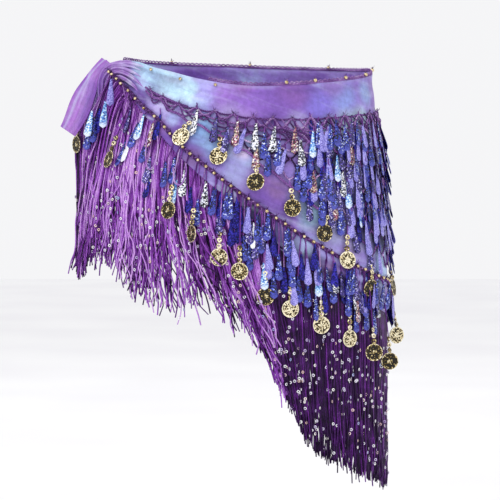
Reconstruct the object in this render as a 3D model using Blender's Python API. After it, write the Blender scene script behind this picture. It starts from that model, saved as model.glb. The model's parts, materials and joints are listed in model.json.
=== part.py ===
"""Belly dance hip scarf, worn low on the hips: a triangular wrap knotted at one side.

The wrap goes once round a general hip form as a thin wall. Front and back are laid out alike in two
coordinates: t runs from 0 at the knot to 1 at the triangle's point, and z is the height. Everything
sewn on the cloth (net, braid, edging, coins, fringe) is placed by t and z, then moved outwards.
Metres, +Z up, +X towards the triangle's point, the front towards -Y.
"""

import math

import bmesh
import bpy
import numpy as np

# Cloth and sewing sizes.
WALL = 0.0015
SEAM = 0.0003
KNOT_ANGLE = -80.0
POINT_ANGLE = 100.0
LENGTH_HEIGHT = -0.100
WRAP_START = 0.022

# The general hip form, one row for each level.
FORM = {
    "z": (-0.480, -0.350, -0.270, -0.200, -0.140, -0.085, -0.040, 0.000, 0.040),
    "centre": (-0.016, -0.017, -0.018, -0.019, -0.018, -0.013, -0.007, -0.002, 0.000),
    "half_width": (0.162, 0.165, 0.167, 0.167, 0.163, 0.154, 0.143, 0.134, 0.130),
    "front": (0.110, 0.111, 0.112, 0.113, 0.112, 0.109, 0.104, 0.097, 0.092),
    "back": (0.121, 0.123, 0.125, 0.127, 0.126, 0.121, 0.113, 0.104, 0.098),
}

# Heights of the lines that run along the wrap, from the knot (t = 0) to the point (t = 1).
LINES = {
    "t": (0.00, 0.08, 0.15, 0.22, 0.30, 0.39, 0.47, 0.54, 0.60, 0.66, 0.74, 0.82, 0.91, 1.00),
    "top_front": (0.0155, 0.0125, 0.0065, 0.0010, -0.0060, -0.0118, -0.0146, -0.0144, -0.0131,
                  -0.0114, -0.0087, -0.0055, -0.0010, 0.0040),
    "top_back": (0.0155, 0.0150, 0.0142, 0.0134, 0.0126, 0.0118, 0.0110, 0.0102, 0.0094,
                 0.0086, 0.0074, 0.0062, 0.0050, 0.0040),
    "bead": (-0.0090, -0.0185, -0.0335, -0.0490, -0.0755, -0.1025, -0.1275, -0.1490, -0.1670,
             -0.1830, -0.2013, -0.2155, -0.2250, -0.2300),
    "hem": (-0.0130, -0.0240, -0.0425, -0.0630, -0.0900, -0.1197, -0.1455, -0.1760, -0.1990,
            -0.2165, -0.2365, -0.2520, -0.2640, -0.2710),
}
NET_LINES = {
    "t": (0.18, 0.22, 0.26, 0.30, 0.39, 0.47, 0.54, 0.60, 0.66, 0.74, 0.82, 0.91, 1.00),
    "top": (-0.0180, -0.0265, -0.0325, -0.0360, -0.0420, -0.0470, -0.0489, -0.0489, -0.0480,
            -0.0460, -0.0430, -0.0412, -0.0410),
    "low": (-0.0200, -0.0300, -0.0370, -0.0440, -0.0600, -0.0790, -0.1010, -0.1200, -0.1410,
            -0.1740, -0.2030, -0.2130, -0.2180),
}

# Folds of the cloth.
GATHERS = 2
GATHER_DEPTH = 0.0024
GATHER_REACH = 0.16
BAND_FOLD_DEPTH = 0.0016
KNOT_LIFT = 0.009
FOLD_FADE = 0.060

# Wrap panels: columns along the hips, rows above the beaded line and below it.
PANELS = {"front": (40, 8, 4), "back": (28, 6, 3)}

# Knot: a lump between the two ends of the wrap.
KNOT_BULGE = 0.0135
KNOT_SWELL = 0.0025
KNOT_RIDGE = 0.10
KNOT_RINGS = 7
KNOT_SIDES = 12

# Free ends of the scarf: centre line and width, from the knot down.
TAIL = {
    "x": (-0.1567, -0.1617, -0.1720, -0.1785, -0.1835, -0.1885, -0.1935, -0.1985),
    "z": (0.0095, 0.0142, 0.0045, -0.0110, -0.0255, -0.0380, -0.0500, -0.0630),
    "width": (0.0085, 0.0125, 0.0200, 0.0255, 0.0290, 0.0300, 0.0280, 0.0250),
}
TAIL_COLUMNS = 6
TAIL_FOLD_DEPTH = 0.0022
TAIL_WALL = 0.0016

# Trims that run along the wrap.
EDGING_HEIGHT = 0.0024
EDGING_START = {"front": 0.34, "back": 0.05}
EDGING_COLUMNS = {"front": 24, "back": 28}
BRAID_WIDTH = 0.0036
BRAID_THICKNESS = 0.0018

# Crocheted net of open diamonds.
NET_PITCH = 0.064
NET_COLUMNS = 13
NET_STRAND = 0.0022
NET_THICKNESS = 0.0014
NET_GAP = 0.0011
NET_ROW = {"t": (0.15, 0.40, 0.60, 0.75, 1.00), "height": (0.0050, 0.0068, 0.0110, 0.0135, 0.0140)}

# Coins: place on the wrap and turn about the thread, in degrees.
COIN_RADIUS = 0.0093
COIN_THICKNESS = 0.0010
COIN_SIDES = 12
THREAD_WIDTH = 0.0018
THREAD_BEND = 0.004
THREAD_STEP = 0.026
HEM_COIN_OUT = 0.0039
NET_COIN_OUT = 0.0054
NET_COINS = {
    "front": ((0.302, -0.0680, 0), (0.406, -0.0880, 0), (0.501, -0.1150, 8), (0.592, -0.1425, 0),
              (0.671, -0.1695, 0), (0.729, -0.1985, 10), (0.811, -0.2310, 62), (0.930, -0.2430, 15)),
    "back": ((0.406, -0.0880, 0), (0.540, -0.1280, 0), (0.671, -0.1695, 8), (0.800, -0.2280, 0),
             (0.930, -0.2430, 10)),
}
HEM_COINS = {
    "front": ((0.110, -0.0920, 12), (0.304, -0.1446, 20), (0.363, -0.1687, 50), (0.423, -0.1937, 0),
              (0.469, -0.2084, 14), (0.527, -0.2353, 0), (0.585, -0.2488, 0), (0.659, -0.2667, 10),
              (0.738, -0.2828, 0), (0.812, -0.3000, 0), (0.895, -0.3060, 18), (0.975, -0.2960, 30)),
    "back": ((0.110, -0.0920, 12), (0.270, -0.1330, 0), (0.400, -0.1860, 8), (0.510, -0.2290, 0),
             (0.610, -0.2560, 10), (0.710, -0.2760, 0), (0.805, -0.2990, 12), (0.895, -0.3060, 0)),
}

# Fringe: where the tip of a strand lies for each root, and how far it leans out.
FRINGE_TIPS = {
    "root": (0.00, 0.04, 0.08, 0.15, 0.22, 0.28, 0.33, 0.37, 0.41, 0.45, 0.50, 0.56, 0.62, 0.70,
             0.80, 0.90, 1.00),
    "tip": (0.008, 0.064, 0.135, 0.205, 0.265, 0.342, 0.408, 0.466, 0.520, 0.550, 0.577, 0.608,
            0.638, 0.706, 0.803, 0.901, 1.000),
    "z": (-0.212, -0.211, -0.212, -0.225, -0.240, -0.243, -0.249, -0.260, -0.291, -0.318, -0.341,
          -0.364, -0.391, -0.411, -0.430, -0.441, -0.447),
    "out": (0.002, 0.002, 0.004, 0.009, 0.014, 0.014, 0.013, 0.010, 0.008, 0.006, 0.004, 0.003,
            0.002, 0.002, 0.002, 0.002, 0.002),
}
STRANDS_PER_STRIP = 42
STRIP_ENDS = (0.004, 0.500, 0.9985)
STRIP_HEIGHT = 0.0035
STRIP_GAP = 0.0007
STRAND_LEVELS = 3
STRAND_WIDTH = 0.0020
STRAND_TIP = 0.0012
STRAND_RAGGED = 0.005
STRAND_SPREAD = 1.8
KNOT_STRAND_BOW = 0.003
BACK_LEAN = 0.06
BACK_RAISE = 0.022
KNOT_CROWDING = 1.3
KNOT_REACH = 0.1
TAIL_STRANDS = 8
TAIL_BARE = 0.12
TAIL_FRINGE_LOW = -0.213
TAIL_FRINGE_FLARE = 0.45
TAIL_TIP_ANGLES = (-74.0, -90.0)
TAIL_TIP_OUT = 0.0095
TAIL_COIN_OUT = 0.009
TAIL_COIN_DROP = 0.032
TAIL_COIN_TURN = 48

PURPLE = (0.16, 0.05, 0.36)
DEEP_PURPLE = (0.07, 0.02, 0.16)
COLOURS = {
    "cloth": (0.27, 0.24, 0.55, 0.55, 0.0),
    "knot": (0.26, 0.12, 0.48, 0.60, 0.0),
    "thread": (*DEEP_PURPLE, 0.70, 0.0),
    "fringe": (*PURPLE, 0.60, 0.0),
    "gold": (0.62, 0.46, 0.18, 0.32, 1.0),
}


def clear_scene():
    """Removes every object that the file opened with."""
    for obj in list(bpy.data.objects):
        bpy.data.objects.remove(obj, do_unlink=True)


def material(finish):
    """The Principled material of a finish, made once."""
    name = f"{finish}_finish"
    if name in bpy.data.materials:
        return bpy.data.materials[name]
    made = bpy.data.materials.new(name)
    made.use_nodes = True
    red, green, blue, roughness, metallic = COLOURS[finish]
    shader = made.node_tree.nodes["Principled BSDF"]
    shader.inputs["Base Color"].default_value = (red, green, blue, 1.0)
    shader.inputs["Roughness"].default_value = roughness
    shader.inputs["Metallic"].default_value = metallic
    return made


def add_node(name, points, faces, finish):
    """Adds one closed mesh object, its faces turned outwards."""
    mesh = bpy.data.meshes.new(name)
    mesh.from_pydata([tuple(map(float, point)) for point in points], [], faces)
    shaped = bmesh.new()
    shaped.from_mesh(mesh)
    bmesh.ops.recalc_face_normals(shaped, faces=shaped.faces)
    bmesh.ops.triangulate(shaped, faces=shaped.faces)
    shaped.to_mesh(mesh)
    shaped.free()
    mesh.materials.append(material(finish))
    obj = bpy.data.objects.new(name, mesh)
    bpy.context.scene.collection.objects.link(obj)
    return obj


def curve_through(table, key, column, at):
    """The value of a table's column at a key, along a smooth curve through its rows."""
    keys = np.asarray(table[key], float)
    values = np.asarray(table[column], float)
    slopes = np.gradient(values, keys)
    at = np.clip(at, keys[0], keys[-1])
    low = np.clip(np.searchsorted(keys, at, side="right") - 1, 0, len(keys) - 2)
    span = keys[low + 1] - keys[low]
    f = (at - keys[low]) / span
    return (
        (2 * f**3 - 3 * f**2 + 1) * values[low]
        + (f**3 - 2 * f**2 + f) * span * slopes[low]
        + (3 * f**2 - 2 * f**3) * values[low + 1]
        + (f**3 - f**2) * span * slopes[low + 1]
    )


def smooth_step(value, low, high):
    """0 below low, 1 above high and smooth between."""
    f = np.clip((value - low) / (high - low), 0.0, 1.0)
    return f * f * (3 - 2 * f)


def form_point(angle, z, out=0.0):
    """A point of the hip form: angle 0 is the front and 90 is +X, in degrees; out is the distance outwards."""
    centre, half_width, front, back = (
        curve_through(FORM, "z", column, z) for column in ("centre", "half_width", "front", "back")
    )
    sine, cosine = np.sin(np.radians(angle)), np.cos(np.radians(angle))
    depth = np.where(cosine > 0, front, back)
    normal_x, normal_y = sine / half_width, -cosine / depth
    length = np.hypot(normal_x, normal_y)
    return np.stack(
        np.broadcast_arrays(
            centre + half_width * sine + out * normal_x / length,
            -depth * cosine + out * normal_y / length,
            z,
        ),
        axis=-1,
    )


def lay_out(turn):
    """Angles and t values of one half, by length along the form; turn is 1 for the front and -1 for the back."""
    sweep = POINT_ANGLE - KNOT_ANGLE
    steps = np.arange(-60.0, sweep + 61.0)
    angles = KNOT_ANGLE + turn * steps
    points = form_point(angles, np.full(len(angles), LENGTH_HEIGHT))
    lengths = np.concatenate([[0.0], np.cumsum(np.linalg.norm(np.diff(points, axis=0), axis=1))])
    start, end = np.interp([0.0, sweep], steps, lengths)
    return (lengths - start) / (end - start), angles, end - start


HALVES = {"front": lay_out(1), "back": lay_out(-1)}
HALF_LENGTH = {side: HALVES[side][2] for side in HALVES}


def line(side, name, t):
    """Height of one of the wrap's lines."""
    column = f"top_{side}" if name == "top" else name
    return curve_through(LINES, "t", column, t)


def relief(side, t, z):
    """How far the cloth stands out from the form: gathers at the knot, soft folds on the band below the beads."""
    top, bead, hem = (line(side, name, t) for name in ("top", "bead", "hem"))
    upper = np.clip((top - z) / (top - bead), 0.0, 1.0)
    band = np.clip((bead - z) / (bead - hem), 0.0, 1.0)
    ridges = (1.0 - np.cos(2 * math.pi * GATHERS * upper)) / 2
    gathers = GATHER_DEPTH * np.exp(-((t / GATHER_REACH) ** 2)) * ridges
    folds = BAND_FOLD_DEPTH * smooth_step(t, 0.45, 0.70) * np.sin(2 * math.pi * band)
    lift = KNOT_LIFT * (1.0 - smooth_step(np.abs(t), 0.0, KNOT_REACH))
    fade = np.clip(1.0 - (hem - z) / FOLD_FADE, 0.0, 1.0)
    return (gathers + folds + lift) * fade


def on_wrap(side, t, z, out=0.0):
    """A point over the wrap, out metres from the inside of the cloth. A t over 1 runs on to the other side."""
    t_values, angles, _ = HALVES[side]
    other = {"front": "back", "back": "front"}[side]
    past = t > 1.0
    stands = np.where(past, relief(other, 2.0 - t, z), relief(side, t, z))
    return form_point(np.interp(t, t_values, angles), z, out + stands)


def wall(outer, inner):
    """Points and faces of a closed wall between two grids of points with the same rows and columns."""
    rows, columns = outer.shape[:2]
    points = np.concatenate([outer.reshape(-1, 3), inner.reshape(-1, 3)])
    count = rows * columns

    def at(row, column, layer=0):
        return layer * count + row * columns + column

    faces = []
    for row in range(rows - 1):
        for column in range(columns - 1):
            corners = [(row, column), (row + 1, column), (row + 1, column + 1), (row, column + 1)]
            faces.append([at(*corner) for corner in corners])
            faces.append([at(*corner, 1) for corner in reversed(corners)])
    border = [(row, 0) for row in range(rows - 1)]
    border += [(rows - 1, column) for column in range(columns - 1)]
    border += [(row, columns - 1) for row in range(rows - 1, 0, -1)]
    border += [(0, column) for column in range(columns - 1, 0, -1)]
    for one, two in zip(border, border[1:] + border[:1]):
        faces.append([at(*one), at(*one, 1), at(*two, 1), at(*two)])
    return points, faces


def tube(rings):
    """Points and faces of a closed body through rings of points, with flat ends."""
    count, sides = rings.shape[:2]
    faces = [list(range(sides)), [(count - 1) * sides + side for side in range(sides)][::-1]]
    for ring in range(count - 1):
        for side in range(sides):
            after = (side + 1) % sides
            faces.append([ring * sides + side, (ring + 1) * sides + side,
                          (ring + 1) * sides + after, ring * sides + after])
    return rings.reshape(-1, 3), faces


def panel_columns(side):
    """The t values of a panel's columns."""
    return np.linspace(WRAP_START, 1.0 - SEAM / 2 / HALF_LENGTH[side], PANELS[side][0] + 1)


def wrap_panel(side):
    """One half of the wrap, from its waist edge to the fringed hem."""
    _, upper_rows, band_rows = PANELS[side]
    t = panel_columns(side)[None, :]
    top, bead, hem = (line(side, name, t) for name in ("top", "bead", "hem"))
    upper = np.linspace(0.0, 1.0, upper_rows + 1)[:, None]
    band = np.linspace(0.0, 1.0, band_rows + 1)[1:, None]
    z = np.concatenate([top + (bead - top) * upper, bead + (hem - bead) * band])
    t = np.broadcast_to(t, z.shape)
    add_node(f"wrap_{side}", *wall(on_wrap(side, t, z, WALL), on_wrap(side, t, z)), "cloth")


def knot():
    """The tied knot, which takes in both ends of the wrap."""
    reach = WRAP_START - SEAM / HALF_LENGTH["front"]
    turns = np.linspace(0.0, 2 * math.pi, KNOT_SIDES, endpoint=False)
    rings = []
    for place in np.linspace(-1.0, 1.0, KNOT_RINGS):
        side = "front" if place >= 0 else "back"
        t = abs(place) * reach
        swell = math.sqrt(1.0 - place**2)
        top, hem = line(side, "top", t), line(side, "hem", t)
        half_height = (top - hem) / 2 + KNOT_SWELL * swell
        half_depth = (WALL + KNOT_BULGE * swell) / 2
        ridge = 1.0 + KNOT_RIDGE * swell * np.cos(3 * turns + 2 * place)
        z = (top + hem) / 2 + half_height * np.sin(turns) * ridge
        out = KNOT_LIFT + half_depth * (1.0 + np.cos(turns) * ridge)
        t_values, angles, _ = HALVES[side]
        rings.append(form_point(np.full(KNOT_SIDES, np.interp(t, t_values, angles)), z, out))
    add_node("knot", *tube(np.array(rings)), "knot")


def tail(name, start_y, end_y, shift_x, length, turn):
    """A free end of the scarf: a folded strip that hangs from the knot, its face turned by an angle."""
    path = np.linspace(0.0, length, 9)
    rows = np.linspace(0.0, 1.0, len(TAIL["x"]))
    table = {"row": rows, **TAIL}
    x, z, width = (curve_through(table, "row", column, path) for column in ("x", "z", "width"))
    centre = np.stack([x + shift_x * path, start_y + (end_y - start_y) * path, z], axis=-1)
    along = np.gradient(centre, axis=0)
    along /= np.linalg.norm(along, axis=1)[:, None]
    facing = np.array([math.sin(turn), -math.cos(turn), 0.0])
    across = np.cross(along, facing)
    across /= np.linalg.norm(across, axis=1)[:, None]
    normal = np.cross(across, along)
    place = np.linspace(-1.0, 1.0, TAIL_COLUMNS + 1)
    depth = TAIL_FOLD_DEPTH * np.cos(1.5 * math.pi * place)[None, :] * (0.4 + 0.6 * path[:, None] / length)
    middle = (
        centre[:, None, :]
        + across[:, None, :] * (place[None, :, None] * width[:, None, None] / 2)
        + normal[:, None, :] * depth[:, :, None]
    )
    half_wall = normal[:, None, :] * TAIL_WALL / 2
    add_node(name, *wall(middle + half_wall, middle - half_wall), "knot")
    return middle[-1]


def waist_edging(side):
    """A crocheted cord along the waist edge, just above the cloth."""
    end = 1.0 - SEAM / 2 / HALF_LENGTH[side]
    t = np.linspace(EDGING_START[side], end, EDGING_COLUMNS[side] + 1)
    low = line(side, "top", t) + SEAM
    z = np.stack([low, low + EDGING_HEIGHT])
    t = np.broadcast_to(t, z.shape)
    cloth = relief(side, t, z - SEAM)
    t_values, angles, _ = HALVES[side]
    at = np.interp(t, t_values, angles)
    outer = form_point(at, z, cloth + WALL + SEAM)
    inner = form_point(at, z, cloth - SEAM)
    add_node(f"waist_edging_{side}", *wall(outer, inner), "thread")


def bead_braid():
    """The beaded braid: one strip from the knot round the point and back along the other half."""
    halves = []
    for side in ("front", "back"):
        places = panel_columns(side)[1:]
        if side == "back":
            places = places[:-1][::-1]
        z = np.stack([line(side, "bead", places) + half for half in (BRAID_WIDTH / 2, -BRAID_WIDTH / 2)])
        t = np.broadcast_to(places, z.shape)
        base = WALL + SEAM
        halves.append([on_wrap(side, t, z, base + BRAID_THICKNESS), on_wrap(side, t, z, base)])
    outer, inner = (np.concatenate([halves[0][layer], halves[1][layer]], axis=1) for layer in (0, 1))
    add_node("bead_braid", *wall(outer, inner), "thread")


def net_vertex(column, row):
    """Where a knot of the net lies: side, t and z. Columns count from the point, towards the front."""
    place = (column + (row % 2) / 2) * NET_PITCH
    side = "front" if place >= 0 else "back"
    t = 1.0 - abs(place)
    return side, t, curve_through(NET_LINES, "t", "top", t) - row * curve_through(NET_ROW, "t", "height", t)


def net_cells():
    """Every diamond of the net as its corners (column, row); the top row is cut to triangles."""
    kept = set()
    cells = []
    for column in range(-NET_COLUMNS, NET_COLUMNS):
        kept.add((column, 0))
        cells.append([(column, 0), (column, 1), (column + 1, 0)])
    row = 1
    while True:
        step = row % 2
        found = []
        for column in range(-NET_COLUMNS, NET_COLUMNS):
            above = [(column - 1 + step, row - 1), (column + step, row - 1)]
            _, t, low = net_vertex(column + step, row + 1)
            deep_enough = row == 1 or low > curve_through(NET_LINES, "t", "low", t)
            if deep_enough and all(place in kept for place in above):
                found.append((column, row))
                cells.append([(column, row), (column + step, row + 1), (column + 1, row),
                              (column + step, row - 1)])
        if not found:
            return cells
        kept.update(found)
        row += 1


def net():
    """The crocheted net, cut through at every diamond."""
    points, faces, index = [], [], {}
    inner, outer = WALL + NET_GAP, WALL + NET_GAP + NET_THICKNESS

    def corner(key, side, t, z):
        if key not in index:
            index[key] = len(points)
            points.append(on_wrap(side, t, z, outer))
            points.append(on_wrap(side, t, z, inner))
        return index[key]

    edge_use = {}
    for cell in net_cells():
        places = [net_vertex(*vertex) for vertex in cell]
        flat = np.array([[(1 - t) * (1 if side == "front" else -1) * HALF_LENGTH[side], z]
                         for side, t, z in places])
        inset = inset_outline(flat, NET_STRAND / 2)
        rim = [corner(vertex, *place) for vertex, place in zip(cell, places)]
        hole = []
        for number, (x, z) in enumerate(inset):
            side = "front" if x >= 0 else "back"
            hole.append(corner((tuple(cell), number), side, 1 - abs(x) / HALF_LENGTH[side], z))
        for this in range(len(cell)):
            after = (this + 1) % len(cell)
            quad = [rim[this], rim[after], hole[after], hole[this]]
            faces.append(quad)
            faces.append([place + 1 for place in reversed(quad)])
            faces.append([hole[this], hole[after], hole[after] + 1, hole[this] + 1])
            edge = frozenset((rim[this], rim[after]))
            edge_use.setdefault(edge, []).append((rim[this], rim[after]))
    for uses in edge_use.values():
        if len(uses) == 1:
            one, two = uses[0]
            faces.append([two, one, one + 1, two + 1])
    add_node("net", points, faces, "thread")


def inset_outline(outline, distance):
    """The corners of a convex flat outline moved in by a distance."""
    middle = outline.mean(axis=0)
    count = len(outline)
    edges = []
    for this in range(count):
        one, two = outline[this], outline[(this + 1) % count]
        along = (two - one) / np.linalg.norm(two - one)
        normal = np.array([-along[1], along[0]])
        normal *= np.sign(np.dot(middle - one, normal))
        edges.append((one + normal * distance, along))
    corners = []
    for this in range(count):
        (start, along), (other, heading) = edges[this - 1], edges[this]
        steps = np.linalg.solve(np.stack([along, -heading], axis=1), other - start)
        corners.append(start + along * steps[0])
    return corners


def unit(vector):
    """The vector at length 1."""
    return vector / np.linalg.norm(vector)


def coin_node(name, thread, centre, axes, turn):
    """A coin on its thread: the thread is a narrow strip through its points, and the coin a round disc.

    axes are the directions right, up and outward at the coin, and turn is its turn about the thread.
    """
    right, up, outward = axes
    turned = math.radians(turn)
    wide = right * math.cos(turned) + outward * math.sin(turned)
    thick = outward * math.cos(turned) - right * math.sin(turned)
    levels = [*thread, centre + up * COIN_RADIUS * math.cos(math.pi / COIN_SIDES)]
    points, faces = [], []
    for number, middle in enumerate(levels):
        share = number / (len(levels) - 1)
        across = right * (1 - share) + wide * share
        for sideways, deep in ((-1, 1), (1, 1), (1, -1), (-1, -1)):
            points.append(middle + across * sideways * THREAD_WIDTH / 2 + thick * deep * COIN_THICKNESS / 2)
    for ring in range(len(levels) - 1):
        for edge in range(4):
            after = (edge + 1) % 4
            faces.append([4 * ring + edge, 4 * ring + 4 + edge, 4 * ring + 4 + after, 4 * ring + after])
    faces.append([0, 1, 2, 3])
    last = 4 * (len(levels) - 1)
    first = len(points)
    turns = math.pi / 2 - math.pi / COIN_SIDES - 2 * math.pi * np.arange(COIN_SIDES) / COIN_SIDES
    for deep in (1, -1):
        for angle in turns:
            points.append(centre + wide * COIN_RADIUS * math.cos(angle) + up * COIN_RADIUS * math.sin(angle)
                          + thick * deep * COIN_THICKNESS / 2)
    front = [first + step for step in range(COIN_SIDES)]
    rear = [first + COIN_SIDES + step for step in range(COIN_SIDES)]
    faces.append([last, last + 1] + front)
    faces.append(([last + 3, last + 2] + rear)[::-1])
    for step in range(COIN_SIDES - 1):
        faces.append([front[step], rear[step], rear[step + 1], front[step + 1]])
    faces.append([last + 1, last + 2, rear[0], front[0]])
    faces.append([last + 3, last, front[-1], rear[-1]])
    add_node(name, points, faces, "gold")


def hanging_coin(name, side, hook, coin, out_top, out, turn):
    """A coin that lies over the wrap on a thread from hook to coin, both given as (t, z)."""
    (t_top, z_top), (t, z_coin) = hook, coin
    out += COIN_RADIUS * abs(math.sin(math.radians(turn)))
    rim_z = z_coin + COIN_RADIUS
    first_bend = z_top - THREAD_BEND
    steps = max(1, round((first_bend - rim_z) / THREAD_STEP))
    levels = np.concatenate([[z_top], np.linspace(first_bend, rim_z, steps + 1)[:-1]])
    shares = (z_top - levels) / (z_top - rim_z)
    thread = on_wrap(side, t_top + (t - t_top) * shares, levels, out_top + (out - out_top) * shares)
    centre = on_wrap(side, t, z_coin, out)
    right = unit(on_wrap(side, t + 0.002, z_coin, out) - on_wrap(side, t - 0.002, z_coin, out))
    up = unit(on_wrap(side, t, z_coin + COIN_RADIUS, out) - on_wrap(side, t, z_coin - COIN_RADIUS, out))
    outward = unit(np.cross(right, up)) * (1 if side == "front" else -1)
    coin_node(name, thread, centre, (right, up, outward), turn)


def coins():
    """Every coin: the upper ones hang from the net, the lower ones from the beaded braid."""
    lows = [net_vertex(*cell[1]) for cell in net_cells()]
    half = COIN_THICKNESS / 2
    on_net = WALL + NET_GAP + NET_THICKNESS + SEAM + half
    for side, places in NET_COINS.items():
        for number, (t, z, turn) in enumerate(places, 1):
            near = [(low, place) for this, place, low in lows
                    if this == side and abs(place - t) < NET_PITCH * 0.55]
            low, place = min(near)
            hook = (place, low + NET_STRAND)
            hanging_coin(f"net_coin_{side}_{number}", side, hook, (t, z), on_net, NET_COIN_OUT + half, turn)
    for side, places in HEM_COINS.items():
        for number, (t, z, turn) in enumerate(places, 1):
            hook = (t, line(side, "bead", t) + THREAD_WIDTH / 2)
            out_top = HEM_COIN_OUT + half
            out = out_top + fringe_lean(side, t, z)
            hanging_coin(f"hem_coin_{side}_{number}", side, hook, (t, z), out_top, out, turn)


def strand_path(side, root, share):
    """Where a strand of the wrap's fringe runs: t, z and distance out, at a share of its length."""
    tip, tip_z, lean = (curve_through(FRINGE_TIPS, "root", column, root) for column in ("tip", "z", "out"))
    if side == "back":
        tip = tip + BACK_LEAN * np.sin(math.pi * root)
        tip_z = tip_z + BACK_RAISE * np.sin(math.pi * root)
    low = line(side, "hem", root) - STRIP_GAP - STRIP_HEIGHT
    near_knot = 1.0 - smooth_step(root, 0.0, 0.3)
    spread = 1.0 - (1.0 - share) ** (1.0 + STRAND_SPREAD * near_knot)
    out = WALL / 2 + lean * share**2 + KNOT_STRAND_BOW * near_knot**2 * np.sin(math.pi * share)
    return root + (tip - root) * spread, low + (tip_z - low) * share, out


def fringe_lean(side, t, z):
    """How far out the fringe reaches round a coin at (t, z)."""
    roots, shares = np.meshgrid(np.linspace(0.0, 1.0, 201), np.linspace(0.0, 1.0, 41))
    at, height, out = strand_path(side, roots, shares)
    near = np.hypot((at - t) * HALF_LENGTH[side], height - z) < COIN_RADIUS + STRAND_WIDTH
    return out[near].max() - WALL / 2 if near.any() else 0.0


def strip_node(name, edges, strip_point, strand_point):
    """A fringe tape with its strands, each drawn down from the tape's underside.

    edges are the places of the tape's columns; every second column carries a strand. strip_point(place,
    drop, out) and strand_point(number, share, across, deep) give points in space.
    """
    rows = [[strip_point(place, drop, out) for place in edges]
            for drop, out in ((0.0, WALL / 2), (STRIP_HEIGHT, WALL), (STRIP_HEIGHT, 0.0))]
    points = [point for row in rows for point in row]
    count = len(edges)
    faces = [[0, count, 2 * count], [3 * count - 1, 2 * count - 1, count - 1]]
    for column in range(count - 1):
        above, outer, inner = column, count + column, 2 * count + column
        faces.append([above, above + 1, outer + 1, outer])
        faces.append([above + 1, above, inner, inner + 1])
        ring = [outer, outer + 1, inner + 1, inner]
        for step in range(1, (column % 2) * STRAND_LEVELS + 1):
            fresh = len(points)
            for across, deep in ((-1, 1), (1, 1), (1, -1), (-1, -1)):
                points.append(strand_point(column // 2, step / STRAND_LEVELS, across, deep))
            after = [fresh + corner for corner in range(4)]
            for corner in range(4):
                following = (corner + 1) % 4
                faces.append([ring[corner], ring[following], after[following], after[corner]])
            ring = after
        faces.append(ring)
    add_node(name, points, faces, "fringe")


def strand_width(share):
    """Width of a strand, from its root to its tip."""
    return STRAND_WIDTH + (STRAND_TIP - STRAND_WIDTH) * share


def wrap_fringe(name, side, start, end):
    """The fringe under one stretch of the hem."""
    crowding = KNOT_CROWDING if start < KNOT_REACH else 1.0
    roots = start + (end - start) * ((np.arange(STRANDS_PER_STRIP) + 0.5) / STRANDS_PER_STRIP) ** crowding
    half = STRAND_WIDTH / 2 / HALF_LENGTH[side]
    edges = [start, *np.stack([roots - half, roots + half], axis=1).ravel(), end]

    def strip_point(t, drop, out):
        return on_wrap(side, t, line(side, "hem", t) - STRIP_GAP - drop, out)

    def strand_point(number, share, across, deep):
        width = strand_width(share)
        t, z, out = strand_path(side, roots[number], share)
        t += across * width / 2 / HALF_LENGTH[side]
        z += STRAND_RAGGED * math.sin(7.3 * number) * share
        return on_wrap(side, t, z, out + deep * width / 2)

    strip_node(name, edges, strip_point, strand_point)


def tail_fringe(end):
    """The fringe under the end of the short tail, given as the points across that end."""
    along = end[-1] - end[0]
    length = np.linalg.norm(along)
    outward = unit(np.array([along[1], -along[0], 0.0]))
    outward *= np.sign(outward @ (0.0, -1.0, 0.0))
    down = np.array([0.0, 0.0, -1.0])
    roots = TAIL_BARE + (1.0 - TAIL_BARE) * (np.arange(TAIL_STRANDS) + 0.5) / TAIL_STRANDS
    half = STRAND_WIDTH / 2 / length
    edges = [0.01, *np.stack([roots - half, roots + half], axis=1).ravel(), 0.99]
    shares = np.linspace(0.0, 1.0, len(end))

    def strip_point(place, drop, out):
        edge = np.array([np.interp(place, shares, end[:, axis]) for axis in range(3)])
        return edge + down * (STRIP_GAP + drop) + outward * (out - WALL / 2)

    def strand_point(number, share, across, deep):
        width = strand_width(share)
        root = strip_point(roots[number] + across * width / 2 / length, STRIP_HEIGHT, WALL / 2)
        angle = TAIL_TIP_ANGLES[0] + (TAIL_TIP_ANGLES[1] - TAIL_TIP_ANGLES[0]) * roots[number]
        tip = form_point(angle, TAIL_FRINGE_LOW + STRAND_RAGGED * math.sin(5.1 * number), TAIL_TIP_OUT)
        tip = tip + unit(along) * (across * width / 2)
        sideways = share**TAIL_FRINGE_FLARE
        return root + (tip - root) * (sideways, sideways, share) + outward * (deep * width / 2)

    strip_node("fringe_tail", edges, strip_point, strand_point)


def tail_coin(end):
    """A coin in front of the short tail's fringe, hung from the tail's end."""
    right, up = unit((end[0] - end[-1]) * (1.0, 1.0, 0.0)), np.array([0.0, 0.0, 1.0])
    outward = unit(np.cross(right, up))
    hook = end[-2] + outward * (TAIL_WALL / 2 + SEAM + COIN_THICKNESS) + up * THREAD_WIDTH
    centre = hook + outward * TAIL_COIN_OUT - up * TAIL_COIN_DROP
    thread = [hook, hook * 0.6 + (centre + up * COIN_RADIUS) * 0.4]
    coin_node("tail_coin", thread, centre, (right, up, outward), TAIL_COIN_TURN)


def main():
    clear_scene()
    for side in ("front", "back"):
        wrap_panel(side)
        waist_edging(side)
        for part, (start, end) in enumerate(zip(STRIP_ENDS, STRIP_ENDS[1:])):
            place = ("knot", "point")[part]
            wrap_fringe(f"fringe_{side}_{place}", side, start, end - SEAM / HALF_LENGTH[side])
    knot()
    tail("tail_long", -0.0200, -0.0300, 0.0, 1.0, math.radians(-18))
    end = tail("tail_short", -0.0145, -0.0040, 0.011, 0.78, math.radians(-12))
    tail_fringe(end)
    tail_coin(end)
    bead_braid()
    net()
    coins()


main()
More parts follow.
